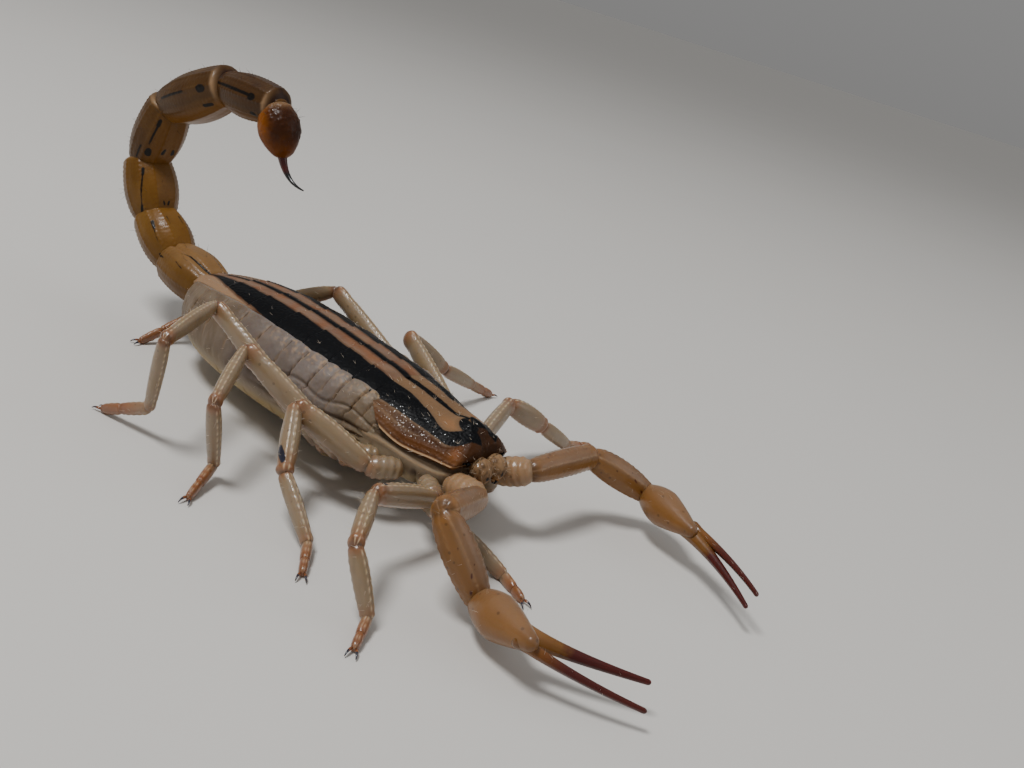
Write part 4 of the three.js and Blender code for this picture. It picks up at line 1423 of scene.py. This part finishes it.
def limb_joint(mesh, start, end, thickness, form, shape, bow=0.0, across=0.85, spots=(), hinge=(1.0, 1.0),
               keels=LIMB_KEELS, around=72, tint=None, collar=0.05, wrinkle=0.0, girth_share=1.0):
    """Adds one joint of a limb: a barrel-shaped tube with keels, warm hinges and a knob at its far end."""
    length = (end - start).length
    radius = thickness / 2
    body = barrel(radius * girth_share, *shape)
    height = in_mm(form.keel_height)
    hinge_reach = min(0.75 * thickness, 0.25 * length)
    along = max(48, round(length / 0.08))

    def girth(s, turn):
        return body(s, turn) + radius * collar * (bump(s, 0.93, 0.05) - 0.5 * bump(s, 0.84, 0.04))

    def relief(s, turn):
        angle = math.degrees(folded(turn))
        middle = smooth(0.06, 0.2, s) * smooth(0.96, 0.84, s)
        beads = 0.7 + 0.3 * math.cos(s * length * TAU / LIMB_BEADS)
        ridge = sum(bump(angle, at, 6) for at in keels) * height * beads
        rings = wrinkle * math.cos(s * length * TAU / 0.3 + math.cos(turn))
        return middle * (ridge - 0.35 * height * bump(angle, 90, 30) + rings)

    def marks(s, turn):
        near, far = s * length, (1 - s) * length
        joint = max(hinge[0] * smooth(hinge_reach, 0.1 * hinge_reach, near),
                    hinge[1] * smooth(1.5 * hinge_reach, 0.2 * hinge_reach, far))
        angle = math.degrees(folded(turn))
        ridge = sum(bump(angle, at, 5) for at in keels)
        dots = 0.45 + 0.55 * math.cos(s * length * TAU / LIMB_BEADS)
        mottle = max(0.0, noise.noise((s * 5, angle * 0.03, length)))
        values = {
            "stain": stroke_depth(spots, s, math.degrees((turn + math.pi) % TAU - math.pi), length, radius),
            "warm": clamp(0.85 * joint + 0.35 * smooth(100, 160, angle)),
            "brown": clamp(0.45 * max(bump(s, 0.03, 0.03), bump(s, 0.975, 0.02)) + 0.25 * mottle),
            # Painted highlight: pale dots along the keels stand for the sparkle of their granules.
            "pale": clamp(0.8 * ridge * dots),
            "grain": 0.35 + 1.2 * ridge,
        }
        if tint:
            values.update(tint(s, angle, values))
        return values

    line = joint_line(start, end, thickness, bow)
    tube(mesh, line, limb_up(start, end), girth, marks, relief, across, cap=0.75 * radius, around=around,
         along=along)


def leg_joints(side, pair, pose):
    joints = [Vector((side * pair["hip"][0], pair["hip"][1], pair["hip"][2]))]
    for part in ("trochanter", "femur", "patella", "tibia"):
        joints.append(joints[-1] + aim(side, pose[part], pair[part][0]))
    length, thickness = pair["tarsus"]
    lift = -math.degrees(math.asin((joints[-1].z - thickness * 0.3) / length))
    joints.append(joints[-1] + aim(side, (pose["tarsus"], lift), length))
    return joints


def foot_tint(s, angle, values):
    """The foot turns orange-brown towards its toe."""
    return {"warm": clamp(0.35 + 0.65 * smooth(0.1, 0.9, s)), "brown": 0.3 * smooth(0.6, 1.0, s)}


def toe_tint(s, angle, values):
    return {"warm": 0.9, "brown": 0.3 * s}


def foot_claw_marks(s, turn):
    return {"stain": s - 0.35, "warm": 1.0, "brown": 0.4}


def add_foot(mesh, ankle, toe, thickness, form):
    """The foot: two joints that come down flat, and two hooked claws."""
    middle = ankle.lerp(toe, FOOT_BREAK)
    limb_joint(mesh, ankle, middle, thickness, form, tint=foot_tint, **LEG_SHAPES["foot"])
    limb_joint(mesh, middle, toe, thickness * 0.9, form, tint=toe_tint, **LEG_SHAPES["toe"])
    ahead = toe - ankle
    ahead.z = 0
    ahead.normalize()
    for out in (-ahead.cross(UP), ahead.cross(UP)):
        root = toe + ahead * 0.02 + out * 0.10 + UP * 0.02
        root.z = max(root.z, 0.18)
        bend = root + ahead * 0.32 + out * 0.10 + UP * 0.06
        tip = root + ahead * 0.46 + out * 0.12 - UP * 0.12
        claw(mesh, root, bend, tip, 0.075, 0.02, foot_claw_marks, around=8, along=10)
    # Nothing of the foot goes below the floor.
    for vertex in mesh.verts:
        vertex.co.z = max(vertex.co.z, 0.0)


def build_leg(name, joints, pair, form, material):
    """One leg in three pieces: the thigh with its hip joint, the knee, and the shin with the foot."""
    hip, thigh, knee, shin, ankle, toe = joints
    pieces = (
        ("thigh", "femur", (("trochanter", hip, thigh), ("femur", thigh, knee))),
        ("knee", "patella", (("patella", knee, shin),)),
        ("shin", "tibia", (("tibia", shin, ankle),)),
    )
    for piece, node, parts in pieces:
        mesh = new_skin()
        for part, start, end in parts:
            limb_joint(mesh, start, end, pair[part][1], form, spots=LEG_SPOTS.get((name, part), ()),
                       **LEG_SHAPES[part])
        if piece == "shin":
            add_foot(mesh, ankle, toe, pair["tarsus"][1], form)
        finish_piece(f"{name}_{piece}", mesh, material, "leg_shell", f"{name}_{node}")


def build_legs(form, colours):
    material = limb_cuticle(colours)
    for side_name, side in SIDES.items():
        for index, pair in enumerate(LEG_PAIRS):
            joints = leg_joints(side, pair, LEG_POSE[side_name][index])
            build_leg(f"leg_{index + 1}_{side_name}", joints, pair, form, material)


# ---------------------------------------------------------------- pincer arms

def arm_joints(side, pose):
    joints = [Vector((side * ARM_ROOT[0], ARM_ROOT[1], ARM_ROOT[2]))]
    for part in ("trochanter", "femur", "patella", "palm"):
        joints.append(joints[-1] + aim(side, pose[part], ARM[part][0]))
    return joints


def arm_tint(s, angle, values):
    """Pinkish above, amber below."""
    mottle = max(0.0, noise.noise((s * 6, angle * 0.05, 2)))
    return {
        "warm": clamp(max(values["warm"] * 0.6, 0.08 + 0.72 * smooth(54, 76, angle))),
        "brown": clamp(values["brown"] + 0.25 * mottle * smooth(70, 50, angle)),
        # Painted highlight: the pale lines along two of the keels stand for their highlights.
        "pale": clamp(0.30 * bump(angle, 56, 5) + 0.12 * bump(angle, 100, 6)),
    }


def arm_base_tint(s, angle, values):
    """The ringed base of an arm is paler than the rest and browner towards its end."""
    return {"warm": 0.15, "brown": 0.15 * smooth(0.6, 1.0, s), "pale": 0.5, "grain": 0.8}


def finger_line(side_name, wrist, which):
    """The line of a pincer finger: it leaves the palm beside its axis and arches outwards."""
    side, pose, finger = SIDES[side_name], ARM_POSE[side_name], FINGERS[which]
    ahead = aim(side, pose["palm"], 1)
    out = Vector((ahead.y, -ahead.x, 0)).normalized() * -side
    start = wrist - ahead * finger["behind"] + out * finger["beside"]
    tip = wrist + aim(side, pose[which], ARM["finger"][0])
    return arc(start, start.lerp(tip, 0.45) + out * 2 * FINGER_BOW, tip), out


def add_finger(mesh, line, towards, marks, swelling):
    """Adds a slender finger with a row of tiny teeth along its inner edge."""
    point, heading, _ = line
    thick = ARM["finger"][1] / 2

    def girth(s, turn):
        return thick * (lerp(swelling, 0.34, s ** 0.5) + 0.25 * smooth(0.16, 0.0, s))

    def relief(s, turn):
        angle = math.degrees(folded(turn))
        return 0.035 * bump(angle, 90, 14) * math.sin(math.pi * clamp(s * 1.05)) ** 0.5

    tube(mesh, line, UP, girth, marks, relief, across=0.9, around=30, along=72)
    for index in range(FINGER_TEETH):
        s = 0.22 + 0.035 * index
        root = point(s) + towards * girth(s, 0) * 0.86
        claw(mesh, root, root + towards * 0.03 + heading(s) * 0.01, root + towards * 0.065, 0.032, 0.012,
             lambda s, turn: {"stain": 0.2}, around=6, along=5)


def palm_girth(s, turn):
    """Girth of the palm: it swells quickly from the arm and narrows slowly to the fingers."""
    fullest = PALM["fullest"]
    rise = lerp(PALM["near"], 1, math.sin(clamp(s / fullest) * math.pi / 2) ** 0.9)
    fall = lerp(1, PALM["far"], clamp((s - fullest) / (1 - fullest)) ** 1.2)
    return PALM["girth"] * ARM["palm"][1] / 2 * (rise if s < fullest else fall)


def palm_marks(s, turn):
    return {
        "stain": -1.0,
        "warm": clamp(0.25 + 0.45 * smooth(20, 90, math.degrees(folded(turn)))),
        "brown": clamp(0.30 * smooth(0.80, 1.0, s) + 0.20 * smooth(0.12, 0.0, s)),
        "grain": 0.3,
    }


def fixed_finger_marks(s, turn):
    """The fixed finger starts as amber as the palm and turns dark red."""
    return {"stain": 0.08 * (s - 0.46) / 0.20, "warm": 0.5 + 0.4 * smooth(0.1, 0.4, s),
            "brown": 0.35 * smooth(0.15, 0.4, s), "grain": 0.1}


def movable_finger_marks(s, turn):
    return {"stain": -1.0, "warm": 0.75 * smooth(0.5, 0.12, s), "brown": 0.3 * smooth(0.2, 0.1, s),
            "grain": 0.1}


def build_hand(side_name, knee, wrist, material, horn):
    """The swollen palm with its fixed finger, and the movable finger."""
    mesh = new_skin()
    tube(mesh, joint_line(knee, wrist, ARM["palm"][1]), limb_up(knee, wrist), palm_girth, palm_marks,
         across=0.92, cap=0.25, around=80, along=84)
    line, out = finger_line(side_name, wrist, "fixed")
    add_finger(mesh, line, out, fixed_finger_marks, FINGERS["fixed"]["swelling"])
    finish_piece(f"hand_{side_name}", mesh, material, "arm_shell", f"pedipalp_{side_name}_palm")

    mesh = new_skin()
    line, out = finger_line(side_name, wrist, "movable")
    add_finger(mesh, line, -out, movable_finger_marks, FINGERS["movable"]["swelling"])
    finish_piece(f"moving_finger_{side_name}", mesh, horn, "dark_claw", f"pedipalp_{side_name}_finger")


def build_arms(form, colours):
    """Two pincer arms, each of three joints and a hand."""
    material = arm_cuticle(colours)
    horn = claw_cuticle(colours)
    pieces = (("arm_base", "trochanter", arm_base_tint), ("upper_arm", "femur", arm_tint),
              ("forearm", "patella", arm_tint))
    for side_name, side in SIDES.items():
        joints = arm_joints(side, ARM_POSE[side_name])
        for (piece, part, tint), start, end in zip(pieces, joints, joints[1:]):
            mesh = new_skin()
            limb_joint(mesh, start, end, ARM[part][1], form, tint=tint, **ARM_SHAPES[part])
            finish_piece(f"{piece}_{side_name}", mesh, material, "arm_shell", f"pedipalp_{side_name}_{part}")
        build_hand(side_name, *joints[-2:], material, horn)


# ---------------------------------------------------------------- hairs

HAIR_LIE = Vector((0, 1, -0.25))     # hairs lie backwards and a little down
BARE_UNDERSIDE = -0.4       # no hair grows where the skin faces down more than this
BARE_BELOW = 0.7            # nor lower than this above the floor

# Which skins carry hairs: name start, roots on each, hairs from each root, length and thickness against
# a body hair, how far the hairs lean back and how far they spread.
PALE_HAIRS = (
    ("head_shield", 120, 1, 0.50, 1.0, 0.9, 0.35),
    ("head_shield", 46, 5, 0.50, 0.8, 0.1, 0.9),
    ("back_plate", 12, 1, 0.45, 0.9, 0.9, 0.35),
    ("back_plate", 6, 4, 0.42, 0.8, 0.1, 0.9),
    ("trunk_skin", 200, 1, 0.40, 0.8, 0.6, 0.5),
    ("jaw_", 50, 1, 0.6, 0.8, 0.4, 0.35),
    ("leg_", 20, 1, 0.6, 0.8, 0.7, 0.35),
    ("upper_arm", 34, 1, 0.5, 0.6, 0.6, 0.35),
    ("forearm", 34, 1, 0.5, 0.6, 0.6, 0.35),
    ("arm_base", 20, 1, 0.5, 0.8, 0.6, 0.35),
    ("hand_", 26, 1, 0.7, 0.6, 0.5, 0.35),
    ("moving_finger", 20, 1, 0.6, 0.7, 0.5, 0.35),
)
DARK_HAIRS = (
    ("tail_skin", 34, 1, 0.9, 1.2, 0.6, 0.35),
    ("sting_bulb", 36, 1, 0.8, 1.0, 0.5, 0.35),
)


def grow_hair(mesh, root, normal, lean, length, thickness):
    """Adds one hair: a thin three-sided cone that leans away from the skin."""
    direction = (normal + lean).normalized()
    turn = direction.to_track_quat("Z", "Y").to_matrix().to_4x4()
    middle = Matrix.Translation(root + direction * length * 0.46)
    bmesh.ops.create_cone(mesh, cap_ends=True, segments=3, radius1=thickness / 2, radius2=thickness / 9,
                          depth=length, matrix=middle @ turn)


def grow_coat(name, coats, form, material):
    """Grows the hairs of several skins as one piece."""
    chance = random.Random(form.seed)
    mesh = bmesh.new()
    for start, roots, tuft, length, thickness, lean, spread in coats:
        for piece in sorted((o for o in bpy.data.objects if o.name.startswith(start)), key=lambda o: o.name):
            faces = piece.data.polygons
            areas = [face.area for face in faces]
            for face in chance.choices(faces, weights=areas, k=round(roots * form.hair_share)):
                if face.normal.z < BARE_UNDERSIDE or face.center.z < BARE_BELOW * MM:
                    continue
                for _ in range(tuft):
                    drift = Vector([chance.gauss(0, spread) for _ in range(3)])
                    grow_hair(mesh, face.center, face.normal, HAIR_LIE * lean + drift,
                              form.hair_length * length * chance.uniform(0.6, 1.25),
                              form.hair_thickness * thickness)
    piece = add_object(name, mesh, material)
    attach(piece, "root")


# ---------------------------------------------------------------- stage

# Where the lamps stand and how wide they are, in metres.
KEY_LIGHT = {"place": (-0.10, 0.04, 0.24), "size": 0.07}
FILL_LIGHT = {"place": (0.16, -0.20, 0.14), "size": 0.20}

def floor_paint(stage):
    """Matt painted board, rolled on: pale, with the faint unevenness of a roller, 30 mm across."""
    material, tree, shader, where = new_material("matt_painted_board")
    rolled = add_node(tree, "ShaderNodeTexNoise", {"Vector": where, "Scale": per_mm(30)})
    feed(tree, shader, {
        "Base Color": tinted(tree, stage.floor, [(rolled.outputs["Fac"], stage.floor_drift)]),
        "Roughness": 0.85,
    })
    return material


def soft_light(name, place, size, power):
    """A round soft lamp that points at the animal."""
    lamp = bpy.data.lights.new(name, "AREA")
    lamp.shape = "DISK"
    lamp.size = size
    lamp.energy = power
    light = bpy.data.objects.new(name, lamp)
    light.location = place
    light.rotation_euler = (-Vector(place)).to_track_quat("-Z", "Y").to_euler()
    bpy.context.scene.collection.objects.link(light)


def studio_world(stage):
    """Even light from all round, brightest overhead and as bright as the far floor at its horizon."""
    world = bpy.data.worlds.new("studio")
    world.use_nodes = True
    tree = world.node_tree
    where = add_node(tree, "ShaderNodeTexCoord").outputs["Generated"]
    height = add_node(tree, "ShaderNodeSeparateXYZ", {"Vector": where}).outputs["Z"]
    feed(tree, tree.nodes["Background"], {
        "Color": tinted(tree, stage.horizon, [(height, stage.overhead)]),
        "Strength": stage.sky,
    })
    return world


def build_camera(stage):
    ahead = Vector((math.sin(stage.heading) * math.cos(stage.height),
                    math.cos(stage.heading) * math.cos(stage.height),
                    -math.sin(stage.height)))
    level = ahead.cross(UP).normalized()
    upright = level.cross(ahead)
    right = level * math.cos(stage.roll) + upright * math.sin(stage.roll)
    above = upright * math.cos(stage.roll) - level * math.sin(stage.roll)
    lens = bpy.data.cameras.new("viewer")
    lens.lens = stage.lens
    lens.clip_start = 1 * MM
    camera = bpy.data.objects.new("viewer", lens)
    turn = Matrix((right, above, -ahead)).transposed().to_4x4()
    camera.matrix_world = Matrix.Translation(Vector(stage.target) - ahead * stage.distance) @ turn
    bpy.context.scene.collection.objects.link(camera)
    bpy.context.scene.camera = camera


def build_stage(stage):
    mesh = bmesh.new()
    bmesh.ops.create_grid(mesh, x_segments=1, y_segments=1, size=stage.floor_size / 2)
    floor = add_object("floor", mesh, floor_paint(stage))
    soft_light("key_light", power=stage.key_power, **KEY_LIGHT)
    soft_light("fill_light", power=stage.fill_power, **FILL_LIGHT)
    bpy.context.scene.world = studio_world(stage)
    build_camera(stage)


# ---------------------------------------------------------------- operators and panel

class SCORPION_OT_head_shield(bpy.types.Operator):
    """Build the head shield with its furrows, grains and side eyes"""
    bl_idname = "scorpion.head_shield"
    bl_label = "Head Shield"

    def execute(self, context):
        build_shield(context.scene.scorpion_colours)
        return {"FINISHED"}


class SCORPION_OT_eyes(bpy.types.Operator):
    """Build the two middle eyes"""
    bl_idname = "scorpion.eyes"
    bl_label = "Middle Eyes"

    def execute(self, context):
        build_eyes(context.scene.scorpion_colours)
        return {"FINISHED"}


class SCORPION_OT_jaws(bpy.types.Operator):
    """Build the two jaws with their fangs"""
    bl_idname = "scorpion.jaws"
    bl_label = "Jaws"

    def execute(self, context):
        for side_name in SIDES:
            build_jaw(side_name, context.scene.scorpion_colours)
        return {"FINISHED"}


class SCORPION_OT_leg_bases(bpy.types.Operator):
    """Build the bases of arms and legs under the head"""
    bl_idname = "scorpion.leg_bases"
    bl_label = "Leg Bases"

    def execute(self, context):
        build_leg_bases(context.scene.scorpion_colours)
        return {"FINISHED"}


class SCORPION_OT_trunk_skin(bpy.types.Operator):
    """Build the creased soft skin of the trunk and the plates under it"""
    bl_idname = "scorpion.trunk_skin"
    bl_label = "Trunk Skin"

    def execute(self, context):
        build_belly(*settings(context))
        build_breast_plates(context.scene.scorpion_colours)
        return {"FINISHED"}


class SCORPION_OT_back_plates(bpy.types.Operator):
    """Build the seven striped back plates"""
    bl_idname = "scorpion.back_plates"
    bl_label = "Back Plates"

    def execute(self, context):
        build_back_plates(*settings(context))
        return {"FINISHED"}


class SCORPION_OT_combs(bpy.types.Operator):
    """Build the two comb organs under the trunk"""
    bl_idname = "scorpion.combs"
    bl_label = "Combs"

    def execute(self, context):
        for side_name in SIDES:
            build_comb(side_name, context.scene.scorpion_colours)
        return {"FINISHED"}


class SCORPION_OT_tail(bpy.types.Operator):
    """Build the tail rings with their keels and dark marks"""
    bl_idname = "scorpion.tail"
    bl_label = "Tail Rings"

    def execute(self, context):
        build_tail(*settings(context))
        return {"FINISHED"}


class SCORPION_OT_sting(bpy.types.Operator):
    """Build the sting bulb and the sting"""
    bl_idname = "scorpion.sting"
    bl_label = "Sting"

    def execute(self, context):
        build_bulb(context.scene.scorpion_colours)
        build_sting(context.scene.scorpion_colours)
        return {"FINISHED"}


class SCORPION_OT_legs(bpy.types.Operator):
    """Build the eight legs with their feet and claws"""
    bl_idname = "scorpion.legs"
    bl_label = "Legs"

    def execute(self, context):
        build_legs(*settings(context))
        return {"FINISHED"}


class SCORPION_OT_arms(bpy.types.Operator):
    """Build the two pincer arms with their hands and fingers"""
    bl_idname = "scorpion.arms"
    bl_label = "Pincer Arms"

    def execute(self, context):
        build_arms(*settings(context))
        return {"FINISHED"}


class SCORPION_OT_hairs(bpy.types.Operator):
    """Grow the hairs and bristles on the skins that are already built"""
    bl_idname = "scorpion.hairs"
    bl_label = "Hairs"

    def execute(self, context):
        if not any(piece.name.startswith("back_plate") for piece in bpy.data.objects):
            raise RuntimeError("Build the back plates before the hairs that stand on them")
        form, colours = settings(context)
        pale = bristle("pale_hair_chitin", colours.pale_hair, colours.rim)
        dark = bristle("dark_bristle_chitin", colours.dark_hair, colours.umber)
        grow_coat("pale_hairs", PALE_HAIRS, form, pale)
        grow_coat("dark_bristles", DARK_HAIRS, form, dark)
        return {"FINISHED"}


class SCORPION_OT_stage(bpy.types.Operator):
    """Set up the floor, the soft lights and the viewpoint"""
    bl_idname = "scorpion.stage"
    bl_label = "Stage"

    def execute(self, context):
        build_stage(context.scene.scorpion_stage)
        return {"FINISHED"}


OPERATORS = (SCORPION_OT_head_shield, SCORPION_OT_eyes, SCORPION_OT_jaws, SCORPION_OT_leg_bases,
             SCORPION_OT_trunk_skin, SCORPION_OT_back_plates, SCORPION_OT_combs, SCORPION_OT_tail,
             SCORPION_OT_sting, SCORPION_OT_legs, SCORPION_OT_arms, SCORPION_OT_hairs, SCORPION_OT_stage)


class SCORPION_PT_panel(bpy.types.Panel):
    """Lists the scorpion's pieces"""
    bl_idname = "SCORPION_PT_panel"
    bl_label = "Striped Scorpion"
    bl_space_type = "VIEW_3D"
    bl_region_type = "UI"
    bl_category = "Scorpion"

    def draw(self, context):
        for operator in OPERATORS:
            self.layout.operator(operator.bl_idname)


GROUPS = (ScorpionColours, ScorpionForm, ScorpionStage)
CLASSES = GROUPS + OPERATORS + (SCORPION_PT_panel,)


def register():
    for entry in CLASSES:
        bpy.utils.register_class(entry)
    bpy.types.Scene.scorpion_colours = bpy.props.PointerProperty(type=ScorpionColours)
    bpy.types.Scene.scorpion_form = bpy.props.PointerProperty(type=ScorpionForm)
    bpy.types.Scene.scorpion_stage = bpy.props.PointerProperty(type=ScorpionStage)


def unregister():
    del bpy.types.Scene.scorpion_stage
    del bpy.types.Scene.scorpion_form
    del bpy.types.Scene.scorpion_colours
    for entry in reversed(CLASSES):
        bpy.utils.unregister_class(entry)


def main():
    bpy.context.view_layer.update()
    register()
    for operator in OPERATORS:
        family, name = operator.bl_idname.split(".")
        getattr(getattr(bpy.ops, family), name)()


if __name__ == "__main__":
    main()
